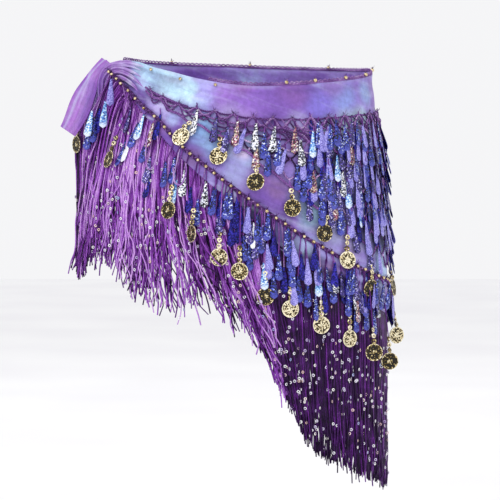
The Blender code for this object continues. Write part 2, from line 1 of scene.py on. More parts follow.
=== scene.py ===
"""Belly dance hip scarf: the cloth, crochet, beads, coins, teardrop sequins and fringe over the fixed frame.

Everything sewn on the scarf is placed by t and z. t runs along the wrap from 0 at the knot to 1 at the
triangle's point, once for the front and once for the back, and z is the height. Metres, +Z up, the front
towards -Y, the knot at -X. Tables in text hold whole numbers: t in thousandths or hundredths, and
lengths in tenths of a millimetre where nothing else is said.
"""

import json
import logging
from dataclasses import dataclass
from enum import Enum
from math import cos, hypot, pi, radians, sin
from typing import Any, Callable, Sequence

import bpy
import numpy as np
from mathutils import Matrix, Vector

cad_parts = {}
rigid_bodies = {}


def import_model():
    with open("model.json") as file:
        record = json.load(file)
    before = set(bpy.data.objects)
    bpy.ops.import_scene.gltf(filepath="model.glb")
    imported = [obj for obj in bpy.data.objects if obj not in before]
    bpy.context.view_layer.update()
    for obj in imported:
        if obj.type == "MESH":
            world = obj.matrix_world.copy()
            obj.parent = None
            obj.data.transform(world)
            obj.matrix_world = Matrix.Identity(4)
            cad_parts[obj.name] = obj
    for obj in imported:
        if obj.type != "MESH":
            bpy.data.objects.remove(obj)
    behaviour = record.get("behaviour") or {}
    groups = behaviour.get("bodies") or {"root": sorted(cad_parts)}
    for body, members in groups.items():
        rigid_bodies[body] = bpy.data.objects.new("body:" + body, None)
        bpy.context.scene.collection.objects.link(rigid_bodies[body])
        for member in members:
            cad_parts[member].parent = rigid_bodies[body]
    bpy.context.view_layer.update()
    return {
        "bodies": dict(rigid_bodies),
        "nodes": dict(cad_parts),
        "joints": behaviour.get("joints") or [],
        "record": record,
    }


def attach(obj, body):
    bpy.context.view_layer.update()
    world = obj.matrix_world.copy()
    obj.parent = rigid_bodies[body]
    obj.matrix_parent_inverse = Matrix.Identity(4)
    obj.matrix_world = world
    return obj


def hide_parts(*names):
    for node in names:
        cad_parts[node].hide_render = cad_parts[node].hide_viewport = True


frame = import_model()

Array = np.ndarray
Colour = tuple[float, float, float, float]
Pair, Axes = tuple[Array, Array], tuple[Array, Array, Array]
Rows = Sequence[tuple[Any, ...]]
LOG = logging.getLogger("hip_scarf")
PERCENT, MILLI, TENTH = 100.0, 1000.0, 10000.0
POINT_UNITS, COIN_UNITS = (TENTH, TENTH, TENTH), (MILLI, TENTH, 1.0, PERCENT)
CREASE_UNITS = (MILLI, TENTH, MILLI, TENTH, TENTH, TENTH, TENTH)
TURN = 2 * pi
UP = np.array([0.0, 0.0, 1.0])


def numbers(text: str, per: float = TENTH) -> Array:
    """Whole numbers parted by spaces, each divided by per."""
    return np.array(text.split(), float) / per


def rows(text: str, *units: float) -> Rows:
    """Rows parted by commas; each number is divided by its unit, and a field past the units stays text."""
    fields = [row.split() for row in text.split(",")]
    return [tuple(float(f) / unit for f, unit in zip(row, units)) + tuple(row[len(units):]) for row in fields]


# ---- the form and the lines on the wrap

FORM = {
    "z": numbers("-480 -350 -270 -200 -140 -85 -40 0 40", MILLI),
    "centre": numbers("-16 -17 -18 -19 -18 -13 -7 -2 0", MILLI),
    "half_width": numbers("162 165 167 167 163 154 143 134 130", MILLI),
    "front": numbers("110 111 112 113 112 109 104 97 92", MILLI),
    "back": numbers("121 123 125 127 126 121 113 104 98", MILLI),
}
LINES = {
    "t": numbers("0 8 15 22 30 39 47 54 60 66 74 82 91 100", PERCENT),
    "top_front": numbers("155 125 65 10 -60 -118 -146 -144 -131 -114 -87 -55 -10 40"),
    "top_back": numbers("155 150 142 134 126 118 110 102 94 86 74 62 50 40"),
    "bead": -numbers("90 185 335 490 755 1025 1275 1490 1670 1830 2013 2155 2250 2300"),
    "hem": -numbers("130 240 425 630 900 1197 1455 1760 1990 2165 2365 2520 2640 2710"),
}
NET_LINES = {
    "t": numbers("15 22 26 30 39 47 54 60 66 74 82 91 100", PERCENT),
    "top": -numbers("150 265 325 360 420 470 489 489 480 460 430 412 410"),
    "low": -numbers("180 300 400 480 640 820 1040 1220 1430 1740 2030 2130 2180"),
}
NET_ROW = {"t": numbers("15 40 60 75 100", PERCENT), "height": numbers("50 68 110 135 140")}
FRINGE_TIPS = {
    "root": numbers("0 4 8 15 22 28 33 37 41 45 50 56 62 70 80 90 100", PERCENT),
    "tip": numbers("8 64 135 205 265 342 408 466 520 550 577 608 638 706 803 901 1000", MILLI),
    "z": -numbers("212 211 212 225 240 243 249 260 291 318 341 364 391 411 430 441 447", MILLI),
    "out": numbers("2 2 4 9 14 14 13 10 8 6 4 3 2 2 2 2 2", MILLI),
}
TAIL = {
    "row": numbers("0 14 28 42 56 70 84 100", PERCENT),
    "left_x": -numbers("1613 1707 1804 1891 1950 1992 2024 2055"),
    "left_z": numbers("175 71 -54 -174 -293 -412 -499 -570"),
    "right_x": -numbers("1496 1582 1641 1657 1689 1726 1785 1893"),
    "right_z": numbers("101 42 -56 -175 -284 -392 -511 -676"),
}
WALL = 0.0015
WRAP_START = 0.022
KNOT_ANGLE, POINT_ANGLE = -80.0, 100.0
LENGTH_HEIGHT = -0.1
GATHERS, GATHER_DEPTH, GATHER_REACH = 2, 0.0024, 0.16
BAND_FOLD_DEPTH = 0.0016
KNOT_LIFT, KNOT_REACH = 0.009, 0.1
FOLD_FADE = 0.06
STRIP_DROP = 0.0042
STRAND_SPREAD = 1.8
KNOT_STRAND_BOW = 0.003
BACK_LEAN, BACK_RAISE = 0.06, 0.022


def shares(count: int) -> Array:
    """So many even steps from 0 to 1."""
    return np.linspace(0, 1.0, count)


def curve_through(table: dict[str, Any], column: str, at: Any) -> Array:
    """Reads a table along a smooth curve through its rows.

    Args:
        table: Columns of numbers; the first holds the places.
        column: The column that is read.
        at: The places to read it at.

    Returns:
        The column's value at each place.
    """
    keys, values = np.asarray(next(iter(table.values())), float), np.asarray(table[column], float)
    slopes = np.gradient(values, keys)
    at = np.clip(at, keys[0], keys[-1])
    low = np.clip(np.searchsorted(keys, at, side="right") - 1, 0, len(keys) - 2)
    span = keys[low + 1] - keys[low]
    f = (at - keys[low]) / span
    return ((2 * f**3 - 3 * f**2 + 1) * values[low] + (f**3 - 2 * f**2 + f) * span * slopes[low]
            + (3 * f**2 - 2 * f**3) * values[low + 1] + (f**3 - f**2) * span * slopes[low + 1])


def smooth_step(value: Any, low: float, high: float) -> Array:
    """0 below low, 1 above high and smooth between."""
    f = np.clip((value - low) / (high - low), 0, 1)
    return f * f * (3 - 2 * f)


def hump(value: Any, width: float) -> Array:
    """A bell curve: 1 at 0, and fading over the width to both sides."""
    return np.exp(-((value / width) ** 2))


def unit(vectors: Array) -> Array:
    """The vectors at length 1, along their last axis."""
    return vectors / np.maximum(np.linalg.norm(vectors, axis=-1, keepdims=True), 1e-12)


def spin(vectors: Array, axis: Array, angle: float) -> Array:
    """Vectors turned about a unit axis by an angle in radians."""
    along = axis * (vectors @ axis)[..., None]
    return vectors * cos(angle) + np.cross(axis, vectors) * sin(angle) + along * (1 - cos(angle))


def run_along(points: Array) -> Array:
    """The length of a path, or of many, up to each point."""
    steps = np.linalg.norm(np.diff(points, axis=-2), axis=-1)
    return np.concatenate([np.zeros_like(steps[..., :1]), np.cumsum(steps, axis=-1)], axis=-1)


def resampled(points: Array, old: Array, new: Array) -> Array:
    """Points of a path known at the lengths old, read at the lengths new."""
    return np.stack([np.interp(new, old, column) for column in points.T], -1)


def rounded(points: Any, count: int) -> Array:
    """A smooth path of so many points through a few."""
    table = {"at": np.arange(len(points)), **dict(zip("xyz", np.array(points).T))}
    return np.stack([curve_through(table, c, np.linspace(0, len(points) - 1, count)) for c in "xyz"], -1)


def form_point(angle: Any, z: Any, out: Any = 0.0) -> Array:
    """Finds a point of the general hip form.

    Args:
        angle: Degrees round the form, 0 at the front and 90 at +X.
        z: Height.
        out: Distance outwards from the form.

    Returns:
        The points.
    """
    centre, half_width, front, back = (curve_through(FORM, column, z) for column in list(FORM)[1:])
    sine, cosine = np.sin(np.radians(angle)), np.cos(np.radians(angle))
    depth = np.where(cosine > 0, front, back)
    normal_x, normal_y = sine / half_width, -cosine / depth
    length = np.hypot(normal_x, normal_y)
    x, y = centre + half_width * sine + out * normal_x / length, -depth * cosine + out * normal_y / length
    return np.stack(np.broadcast_arrays(x, y, z), -1)


class Side(Enum):
    """The two halves of the wrap. Each value is the way round from the knot."""

    FRONT = 1
    BACK = -1

    def __init__(self, turn: int) -> None:
        """Measures the half along the form.

        Args:
            turn: 1 for the front and -1 for the back.
        """
        sweep = POINT_ANGLE - KNOT_ANGLE
        steps = np.arange(-60.0, sweep + 61.0)
        self.angles = KNOT_ANGLE + turn * steps
        lengths = run_along(form_point(self.angles, np.full(len(steps), LENGTH_HEIGHT)))
        start, end = np.interp([0.0, sweep], steps, lengths)
        self.t_values, self.length = (lengths - start) / (end - start), float(end - start)

    @property
    def label(self) -> str:
        """The half's name in the names of pieces."""
        return self.name.lower()

    def line(self, name: str, t: Any) -> Array:
        """Height of one of the wrap's lines: top, bead or hem."""
        return curve_through(LINES, f"top_{self.label}" if name == "top" else name, t)

    def lines(self, t: Any) -> Axes:
        """Heights of the waist edge, the beaded line and the hem."""
        return self.line("top", t), self.line("bead", t), self.line("hem", t)

    def angle(self, t: Any) -> Array:
        """Degrees round the form at t."""
        return np.interp(t, self.t_values, self.angles)

    def relief(self, t: Any, z: Any) -> Array:
        """Finds how far the cloth stands out: gathers at the knot and soft folds on the lower band.

        Args:
            t: Places along the half.
            z: Heights.

        Returns:
            The distances outwards from the form.
        """
        top, bead, hem = self.lines(t)
        upper = np.clip((top - z) / (top - bead), 0, 1)
        band = np.clip((bead - z) / (bead - hem), 0, 1)
        gathers = GATHER_DEPTH * hump(t, GATHER_REACH) * (1 - np.cos(TURN * GATHERS * upper)) / 2
        folds = BAND_FOLD_DEPTH * smooth_step(t, 0.45, 0.7) * np.sin(TURN * band)
        lift = KNOT_LIFT * (1 - smooth_step(np.abs(t), 0.0, KNOT_REACH))
        return (gathers + folds + lift) * np.clip(1 - (hem - z) / FOLD_FADE, 0, 1)

    def at(self, t: Any, z: Any, out: Any = 0.0) -> Array:
        """Finds a point over the wrap.

        Args:
            t: Place along the half; a t over 1 runs on to the other half.
            z: Height.
            out: Distance outwards from the inside of the cloth.

        Returns:
            The points.
        """
        t = np.asarray(t, float)
        other = BACK if self is FRONT else FRONT
        stands = np.where(t > 1.0, other.relief(2.0 - t, z), self.relief(t, z))
        return form_point(self.angle(t), z, out + stands)

    def outward(self, t: Any, z: Any) -> Array:
        """The level direction that points away from the form at (t, z)."""
        return unit(self.at(t, z, 0.01) - self.at(t, z, 0.0))

    def axes(self, t: float, z: float, out: float) -> tuple[Array, Axes]:
        """Finds a point over the wrap with the directions there.

        Args:
            t: Place along the half.
            z: Height.
            out: Distance outwards.

        Returns:
            The point, and its right, up and outward directions.
        """
        right = unit(self.at(t + 0.002, z, out) - self.at(t - 0.002, z, out)) * self.value
        up = unit(self.at(t, z + 0.005, out) - self.at(t, z - 0.005, out))
        return self.at(t, z, out), (right, up, unit(np.cross(right, up)))

    def spaced(self, name: str, start: float, end: float, step: float) -> Pair:
        """Places along one of the wrap's lines with an even step.

        Args:
            name: The line.
            start: First t.
            end: Last t.
            step: Distance between places.

        Returns:
            Their t and z.
        """
        t = np.linspace(start, end, 900)
        run = run_along(np.stack([t * self.length, self.line(name, t)], -1))
        at = np.interp(np.linspace(0, run[-1], max(2, int(run[-1] / step))), run, t)
        return at, self.line(name, at)

    def strand(self, root: Any, share: Any) -> Axes:
        """Follows a strand of the wrap's fringe.

        Args:
            root: The strand's place on the hem.
            share: Share of its length, from 0 at the hem.

        Returns:
            t, z and distance out.
        """
        tip, tip_z, lean = (curve_through(FRINGE_TIPS, column, root) for column in ("tip", "z", "out"))
        if self is BACK:
            bulge = np.sin(pi * root)
            tip, tip_z = tip + BACK_LEAN * bulge, tip_z + BACK_RAISE * bulge
        low = self.line("hem", root) - STRIP_DROP
        near_knot = 1 - smooth_step(root, 0.0, 0.3)
        run = np.clip(share, 0, 1)
        spread = 1 - (1 - run) ** (1.0 + STRAND_SPREAD * near_knot)
        out = WALL / 2 + lean * run**2 + KNOT_STRAND_BOW * near_knot**2 * np.sin(pi * run)
        return root + (tip - root) * spread, low + (tip_z - low) * share, out

    def cover(self, t: float, z: float, reach: float = 0.011) -> float:
        """Finds how far out the fringe comes near a place, so that what hangs there clears it.

        Args:
            t: Place along the half.
            z: Height.
            reach: How near a strand counts.

        Returns:
            The distance, or 0 where no strand is near.
        """
        at, height, out = self.strand(*np.meshgrid(shares(151), shares(31)))
        near = np.hypot((at - t) * self.length, height - z) < reach
        return float(out[near].max() - WALL / 2) if near.any() else 0.0


FRONT, BACK = Side


# ---- meshes


def grid_faces(rows: int, columns: int, wrap: bool = False) -> Array:
    """Lists the quads of a grid of points.

    Args:
        rows: Rows of points.
        columns: Points of a row.
        wrap: True joins the last column to the first.

    Returns:
        The quads, as numbers of points.
    """
    row, column = np.meshgrid(np.arange(rows - 1), np.arange(columns if wrap else columns - 1), indexing="ij")
    after = (column + 1) % columns
    start, end = row * columns, (row + 1) * columns
    quads = [start + column, end + column, end + after, start + after]
    return np.stack(quads, -1).reshape(-1, 4)


def closed_faces(rows: int, sides: int) -> list[Array]:
    """The faces of a tube of rings with flat ends."""
    ends = np.stack([np.arange(sides)[::-1], (rows - 1) * sides + np.arange(sides)])
    return [grid_faces(rows, sides, True), ends]


def wall_faces(rows: int, columns: int) -> Array:
    """Lists the quads of a closed wall between an outer and an inner grid.

    Args:
        rows: Rows of points of each grid.
        columns: Points of a row.

    Returns:
        The quads, as numbers of points; the inner grid's follow the outer's.
    """
    count = rows * columns
    numbered = np.arange(count).reshape(rows, columns)
    front = grid_faces(rows, columns)
    one = np.concatenate([numbered[:-1, 0], numbered[-1, :-1], numbered[:0:-1, -1], numbered[0, :0:-1]])
    two = np.roll(one, -1)
    return np.concatenate([front, front[:, ::-1] + count, np.stack([one, one + count, two + count, two], -1)])


def ball(rings: int = 7, segments: int = 10) -> tuple[Array, list[Array]]:
    """Makes a unit ball.

    Args:
        rings: Bands from pole to pole.
        segments: Corners of a ring.

    Returns:
        Its points and faces.
    """
    rise = np.linspace(0, pi, rings + 1)[1:-1, None]
    turn = TURN * np.arange(segments) / segments
    points = np.stack([np.sin(rise) * np.cos(turn), np.sin(rise) * np.sin(turn), np.cos(rise) + 0 * turn], -1)
    points = np.concatenate([points.reshape(-1, 3), [[0, 0, 1], [0, 0, -1]]])
    side, last = np.arange(segments), (len(rise) - 1) * segments
    after, pole = (side + 1) % segments, np.full(segments, len(points) - 2)
    caps = [np.stack([pole, side, after], -1), np.stack([pole + 1, last + after, last + side], -1)]
    return points, [grid_faces(len(rise), segments, True), *caps]


def ring(radius: float, thickness: float, segments: int = 12, sides: int = 6) -> tuple[Array, list[Array]]:
    """Makes a torus whose hole faces along its third axis.

    Args:
        radius: Radius of its centre line.
        thickness: Radius of its wire.
        segments: Corners round the hole.
        sides: Corners of the wire.

    Returns:
        Its points and faces.
    """
    turn, small = (TURN * np.arange(count) / count for count in (segments, sides))
    reach = radius + thickness * np.cos(small)[None, :]
    points = np.stack([reach * np.cos(turn)[:, None], reach * np.sin(turn)[:, None],
                       np.broadcast_to(thickness * np.sin(small), (segments, sides))], -1)
    return points.reshape(-1, 3), [grid_faces(segments + 1, sides, True) % (segments * sides)]


def sections(paths: Array, radii: Any, facing: Any, sides: int) -> Pair:
    """Makes rings of points round paths.

    Args:
        paths: Points, as (tubes, points, 3).
        radii: Radius of each point, or one for all.
        facing: A direction across each path, which its rings start from.
        sides: Corners of a ring.

    Returns:
        The rings, as (tubes, points, sides, 3), and the angles of their corners.
    """
    along = unit(np.gradient(paths, axis=1))
    facing = np.broadcast_to(facing, paths.shape)
    normal = unit(facing - along * np.sum(facing * along, axis=-1, keepdims=True))
    across = np.cross(along, normal)
    turns = TURN * np.arange(sides) / sides
    radii = np.broadcast_to(radii, paths.shape[:2])[..., None, None]
    circle = normal[:, :, None] * np.cos(turns)[:, None] + across[:, :, None] * np.sin(turns)[:, None]
    return paths[:, :, None] + circle * radii, turns


class MeshBatch:
    """Points, faces and point values of one mesh, gathered before it is made."""

    def __init__(self, rng: np.random.Generator | None = None) -> None:
        """Starts an empty mesh, with the random numbers of its small parts."""
        self.points, self.faces, self.kinds, self.values = [], [], [], {}
        self.count, self.rng = 0, rng

    def add(self, points: Array, faces: Sequence[Array], kind: int = 0, **values: Any) -> None:
        """Adds a shape.

        Args:
            points: Its points, one row each.
            faces: Arrays of faces that count from its own first point.
            kind: The material slot of its faces.
            **values: A number, or one for each point, for every named value.
        """
        points = np.asarray(points, float).reshape(-1, 3)
        self.points.append(points)
        for group in faces:
            self.faces.append(np.asarray(group, int) + self.count)
            self.kinds.append(np.full(len(group), kind))
        for name, value in values.items():
            filled = np.broadcast_to(np.asarray(value, float).reshape(-1), (len(points),))
            self.values.setdefault(name, []).append(filled)
        self.count += len(points)

    def bead(self, centre: Array, size: Any) -> None:
        """Adds a gold bead."""
        points, faces = ball()
        self.add(centre + points * size, faces, 1, tone=0.5, run=0.0, around=0.0)

    def tubes(self, paths: Array, radii: Any, facing: Array, sides: int = 5, tone: Any = 0.5) -> None:
        """Adds closed tubes along paths of equal point count.

        Args:
            paths: Points, as (tubes, points, 3).
            radii: Radius of each point, or one for all.
            facing: A direction across each path.
            sides: Corners of the section.
            tone: One value for each tube, or one for all.
        """
        count, length = paths.shape[:2]
        points, turns = sections(paths, radii, facing, sides)
        quads, caps = closed_faces(length, sides)
        starts = (np.arange(count) * length * sides)[:, None, None]
        tones = np.repeat(np.broadcast_to(tone, (count,)), length * sides)
        faces = [(quads[:, ::-1] + starts).reshape(-1, 4), (caps[:, ::-1] + starts).reshape(-1, sides)]
        self.add(points, faces, tone=tones, run=np.repeat(run_along(paths), sides),
                 around=np.tile(turns, count * length))

    def yarn(self, path: Array, facing: Array, radius: float, pitch: float, plies: int = 2, sides: int = 4,
             tone: float = 0.5, phase: float = 0.0) -> None:
        """Adds one twisted yarn of several plies along a path.

        Args:
            path: Points of its centre line, close enough for the twist.
            facing: A direction across the path.
            radius: Radius of the whole yarn.
            pitch: Length of one turn of the twist.
            plies: How many plies it has.
            sides: Corners of each ply's section.
            tone: Value kept as tone.
            phase: Where the twist starts, in turns.
        """
        old = run_along(path)
        new = np.linspace(0, old[-1], max(4, int(old[-1] / pitch * 4)) + 1)
        centre, face = (resampled(points, old, new) for points in (path, np.broadcast_to(facing, path.shape)))
        along = unit(np.gradient(centre, axis=0))
        normal = unit(face - along * np.sum(face * along, axis=-1, keepdims=True))
        across = np.cross(along, normal)
        turns = [TURN * (new / pitch + phase + ply / plies)[:, None] for ply in range(plies)]
        paths = [centre + (normal * np.cos(turn) + across * np.sin(turn)) * radius * 0.5 for turn in turns]
        self.tubes(np.array(paths), radius * (0.58 if plies == 2 else 0.52), normal, sides, tone)

    def tuft(self, root: Array, lean: Array, length: float) -> None:
        """Adds a small tuft of thread ends.

        Args:
            root: Where it is tied.
            lean: Where it points.
            length: Length of its ends.
        """
        share = shares(4)[:, None]
        for _ in range(6):
            aim = unit(lean + self.rng.normal(0, 0.42, 3))
            bend = self.rng.normal(0, 0.25, 3) * length
            path = root + aim * share * length * self.rng.uniform(0.6, 1.15) + bend * share**2
            self.tubes(path[None], np.linspace(0.00045, 0.00018, 4), np.array([0.3, 0.5, 0.8]), 3,
                       self.rng.uniform(0.1, 0.7))

    def build(self, name: str, materials: Sequence[bpy.types.Material], slot: str,
              replaces: Sequence[str] = ()) -> bpy.types.Object:
        """Makes the mesh object, dresses it and fixes it to the body.

        Args:
            name: The piece's name.
            materials: Its materials, in the order of the kinds.
            slot: The record's material slot; not used.
            replaces: CAD nodes that it stands for.

        Returns:
            The object.
        """
        mesh = bpy.data.meshes.new(name)
        faces = [face for group in self.faces for face in group.tolist()]
        mesh.from_pydata(np.concatenate(self.points).tolist(), [], faces)
        mesh.polygons.foreach_set("use_smooth", [True] * len(faces))
        mesh.polygons.foreach_set("material_index", np.concatenate(self.kinds).astype(np.int32))
        for key, parts in self.values.items():
            layer = mesh.attributes.new(key, "FLOAT", "POINT")
            layer.data.foreach_set("value", np.concatenate(parts).astype(np.float32))
        for material in materials:
            mesh.materials.append(material)
        mesh.update()
        made = bpy.data.objects.new(name, mesh)
        bpy.context.scene.collection.objects.link(made)
        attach(made, "root")
        if replaces:
            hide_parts(*replaces)
        LOG.info("%s: %d triangles", name, sum(len(face) - 2 for face in faces))
        return made


# ---- shader tools


def linear(text: str) -> Colour:
    """The linear colour of a hex text such as 8a4bb0."""
    parts = [int(text[place : place + 2], 16) / 255 for place in (0, 2, 4)]
    return (*(c / 12.92 if c <= 0.04045 else ((c + 0.055) / 1.055) ** 2.4 for c in parts), 1.0)


def operator(operation: str, reflected: bool = False) -> Callable[["Wire", Any], "Wire"]:
    """Makes one operator of Wire.

    Args:
        operation: The Math node's operation.
        reflected: True where the value stands second.

    Returns:
        The method.
    """

    def method(wire: "Wire", other: Any) -> "Wire":
        """Adds the Math node."""
        pair = (other, wire) if reflected else (wire, other)
        return wire.shader.node("ShaderNodeMath", {"operation": operation}, dict(enumerate(pair)))

    return method


class Wire:
    """A node's output, which takes part in expressions on values."""

    def __init__(self, shader: "Shader", socket: bpy.types.NodeSocket) -> None:
        """Wraps one output socket of a shader."""
        self.shader, self.socket = shader, socket

    __add__ = __radd__ = operator("ADD")
    __sub__, __rsub__ = operator("SUBTRACT"), operator("SUBTRACT", True)
    __mul__ = __rmul__ = operator("MULTIPLY")

    def sine(self) -> "Wire":
        """Sine."""
        return self.shader.node("ShaderNodeMath", {"operation": "SINE"}, {0: self})

    def step(self, low: float, high: float, start: float = 0.0, end: float = 1.0) -> "Wire":
        """A smooth step from start at low to end at high."""
        inputs = {"Value": self, "From Min": low, "From Max": high, "To Min": start, "To Max": end}
        return self.shader.node("ShaderNodeMapRange", {"interpolation_type": "SMOOTHSTEP"}, inputs)

    def ramp(self, stops: str) -> "Wire":
        """A colour read along this value from stops such as 45 8a4bb0, in hundredths."""
        settings = {"stops": [(at, linear(text)) for at, text in rows(stops, PERCENT)]}
        return self.shader.node("ShaderNodeValToRGB", settings, {"Fac": self})


class Shader:
    """One material's nodes round its Principled shader."""

    def __init__(self, name: str, **constants: Any) -> None:
        """Makes the material.

        Args:
            name: The material's name.
            **constants: Values of the shader's own sockets, with _ for a space.
        """
        self.material = bpy.data.materials.new(name)
        self.material.use_nodes = True
        self.tree = self.material.node_tree
        self.surface = self.tree.nodes["Principled BSDF"]
        for key, value in constants.items():
            self.surface.inputs[key.replace("_", " ")].default_value = value

    def node(self, kind: str, settings: dict[str, Any] | None = None, inputs: dict[Any, Any] | None = None,
             output: Any = 0) -> Wire:
        """Adds a node.

        Args:
            kind: The node's type.
            settings: Its settings, which are set first; stops are a colour ramp's.
            inputs: Values or wires of its sockets.
            output: The output to read.

        Returns:
            That output.
        """
        made = self.tree.nodes.new(kind)
        for name, value in (settings or {}).items():
            if name != "stops":
                setattr(made, name, value)
                continue
            elements = made.color_ramp.elements
            while len(elements) < len(value):
                elements.new(1.0)
            for element, (place, colour) in zip(elements, value):
                element.position, element.color = place, colour
        for key, value in (inputs or {}).items():
            if isinstance(value, Wire):
                self.tree.links.new(value.socket, made.inputs[key])
            else:
                made.inputs[key].default_value = value
        return Wire(self, made.outputs[output])

    def place(self) -> Wire:
        """The point's own place in the object."""
        return self.node("ShaderNodeTexCoord", output="Object")

    def value(self, name: str) -> Wire:
        """A point value of the mesh."""
        return self.node("ShaderNodeAttribute", {"attribute_name": name}, output="Fac")

    def vector(self, operation: str, first: Any, second: Any = None, output: Any = 0) -> Wire:
        """A Vector Math node; SCALE takes a number second."""
        second = {} if second is None else {"Scale" if operation == "SCALE" else 1: second}
        return self.node("ShaderNodeVectorMath", {"operation": operation}, {0: first, **second}, output)

    def noise(self, scale: float, detail: float = 2.0, vector: Wire | None = None, output: Any = 0) -> Wire:
        """Noise at so many periods a metre."""
        inputs = {"Scale": scale, "Detail": detail, "Vector": vector or self.place()}
        return self.node("ShaderNodeTexNoise", None, inputs, output)

    def mix(self, factor: Any, first: Any, second: Any, blend: str = "MIX") -> Wire:
        """A blend of two colours; a text is a hex colour."""
        inputs = {0: factor, 6: first, 7: linear(second) if isinstance(second, str) else second}
        return self.node("ShaderNodeMix", {"data_type": "RGBA", "blend_type": blend}, inputs, 2)

    def shaded(self, colour: Wire, shade: Wire) -> Wire:
        """The colour times a value."""
        grey = self.node("ShaderNodeCombineXYZ", None, {0: shade, 1: shade, 2: shade})
        return self.mix(1.0, colour, grey, "MULTIPLY")

    def bump(self, height: Wire, distance: float, strength: float) -> None:
        """Raises the surface by a height of so many metres."""
        inputs = {"Height": height, "Distance": distance, "Strength": strength}
        self.drive(Normal=self.node("ShaderNodeBump", None, inputs))

    def drive(self, **wires: Wire) -> None:
        """Feeds sockets of the shader, named with _ for a space."""
        for key, wire in wires.items():
            self.tree.links.new(wire.socket, self.surface.inputs[key.replace("_", " ")])


# ---- finishes


@dataclass(frozen=True)
class TieDye:
    """Smooth stretch velvet tie-dyed in clouds over a mottled ground, with painted shade and painted
    highlights.
    """

    name: str
    ground: str
    clouds: Rows = ()
    cloud_scale: float = 16.0
    pull: tuple[float, float, float] = (0.32, 0.0, 1.0)
    streak_start: float = -0.1
    strength: float = 0.9
    warp: float = 0.011
    grain: float = 1500.0
    pale: str = "dde8fa"
    deep: str = "6b47a8"
    # Colours of the painted shade in the folds' valleys and of the painted highlight on their tops.
    hollow: str = "54368a"
    sheen: str = "c9d4ee"

    def make(self) -> bpy.types.Material:
        """Builds the material; the point value crease paints shade into the folds' valleys, and shine paints
        highlights on their tops.

        Returns:
            The material.
        """
        shader = Shader(self.name, Sheen_Weight=0.16, Sheen_Roughness=0.35, Specular_IOR_Level=0.3)
        vector = shader.vector
        drift = vector("SUBTRACT", shader.noise(15.0, 4.0, output="Color"), (0.5, 0.5, 0.5))
        place = vector("ADD", shader.place(), vector("SCALE", drift, self.warp * 2))
        colour = shader.noise(self.cloud_scale, 3.0, place).ramp(self.ground)
        for side, t, z, radius, cloud_colour in self.clouds:
            away = vector("DISTANCE", place, tuple(map(float, side.at(t, z, WALL))), "Value")
            # Each cloud mixes in its colour; the darkest clouds are painted shade under the trims.
            colour = shader.mix(away.step(radius * 0.25, radius * 1.15, self.strength, 0.0), colour, cloud_colour)
        pulled = vector("DOT_PRODUCT", shader.place(), self.pull, "Value")
        flow = shader.node("ShaderNodeCombineXYZ", None, {0: pulled, 2: 0.0})
        flow = vector("ADD", flow, vector("MULTIPLY", shader.place(), (0.05, 0.1, 0.03)))
        streak = shader.noise(120.0, 3.0, vector("ADD", flow, vector("SCALE", drift, 0.01)))
        near = vector("DOT_PRODUCT", shader.place(), (1.0, 0.0, 0.0), "Value")
        near = near.step(self.streak_start, self.streak_start + 0.15, 1.0, 0.52)
        colour = shader.mix(streak.step(0.5, 0.8, 0.0, 0.46) * near, colour, self.pale)
        colour = shader.mix(streak.step(0.25, 0.48, 0.5, 0.0) * near, colour, self.deep)
        mottle = shader.noise(230.0, 3.0).step(0.3, 0.7, 0.88, 1.08)
        pile = shader.noise(self.grain)
        crease, shine = shader.value("crease"), shader.value("shine")
        # Painted shade: the folds' valleys are mixed towards a darker purple and darkened.
        colour = shader.mix(crease * 0.42, colour, self.hollow)
        colour = shader.shaded(colour, mottle * pile.step(0.2, 0.8, 0.9, 1.08) * (1 - crease * 0.14))
        # Painted highlight: the fold tops are mixed towards a pale blue-white.
        shader.drive(Base_Color=shader.mix(shine, colour, self.sheen),
                     Roughness=pile.step(0.2, 0.8, 0.44, 0.62))
        shader.bump(pile + mottle, 0.00025, 0.6)
        return shader.material


@dataclass(frozen=True)
class TwistedThread:
    """Rayon or cotton thread with a twist and stray fibres."""

    name: str
    stops: str
    pitch: float
    roughness: tuple[float, float] = (0.38, 0.62)
    twist_depth: float = 0.3
    fleck: float = 0.8
    gloss: float = 0.22

    def make(self) -> bpy.types.Material:
        """Builds the material; the point values tone, run and around place its colour and twist, and the
        twist's grooves get painted shade.

        Returns:
            The material.
        """
        shader = Shader(self.name, Specular_IOR_Level=self.gloss)
        turn = shader.value("run") * (TURN / self.pitch) + shader.value("around") * 2.0
        twist = turn.sine() * 0.5 + 0.5
        fibre, slow = shader.noise(1500.0, 3.0), shader.noise(75.0)
        tone = shader.value("tone") + (fibre - 0.5) * self.fleck + (slow - 0.5) * 0.6
        # Painted shade: the colour is darker in the grooves of the twist.
        colour = shader.shaded(tone.ramp(self.stops), twist * self.twist_depth + (1 - self.twist_depth * 0.6))
        shader.drive(Base_Color=colour, Roughness=fibre.step(0.25, 0.75, *self.roughness))
        shader.bump(twist + fibre * 0.6, 0.0003, self.twist_depth)
        return shader.material


@dataclass(frozen=True)
class Plain:
    """A finish of one run of colours: the beads' gold, the small sequins' silver and the pale floor."""

    name: str
    stops: str
    metal: float = 0.0
    coat: float = 0.0
    cloud: tuple[float, float] | None = None
    roughness: tuple[float, float, float] | None = None
    relief: float = 0.0

    def make(self) -> bpy.types.Material:
        """Builds the material; without a cloud, the point value tone picks each one's tint.

        Returns:
            The material.
        """
        shader = Shader(self.name, Metallic=self.metal, Coat_Weight=self.coat, Roughness=0.8)
        tint = shader.noise(*self.cloud) if self.cloud else shader.value("tone")
        shader.drive(Base_Color=tint.ramp(self.stops))
        if self.roughness:
            scale, low, high = self.roughness
            shader.drive(Roughness=shader.noise(scale).step(0.3, 0.7, low, high))
        if self.relief:
            shader.bump(tint, self.relief, 0.4)
        return shader.material


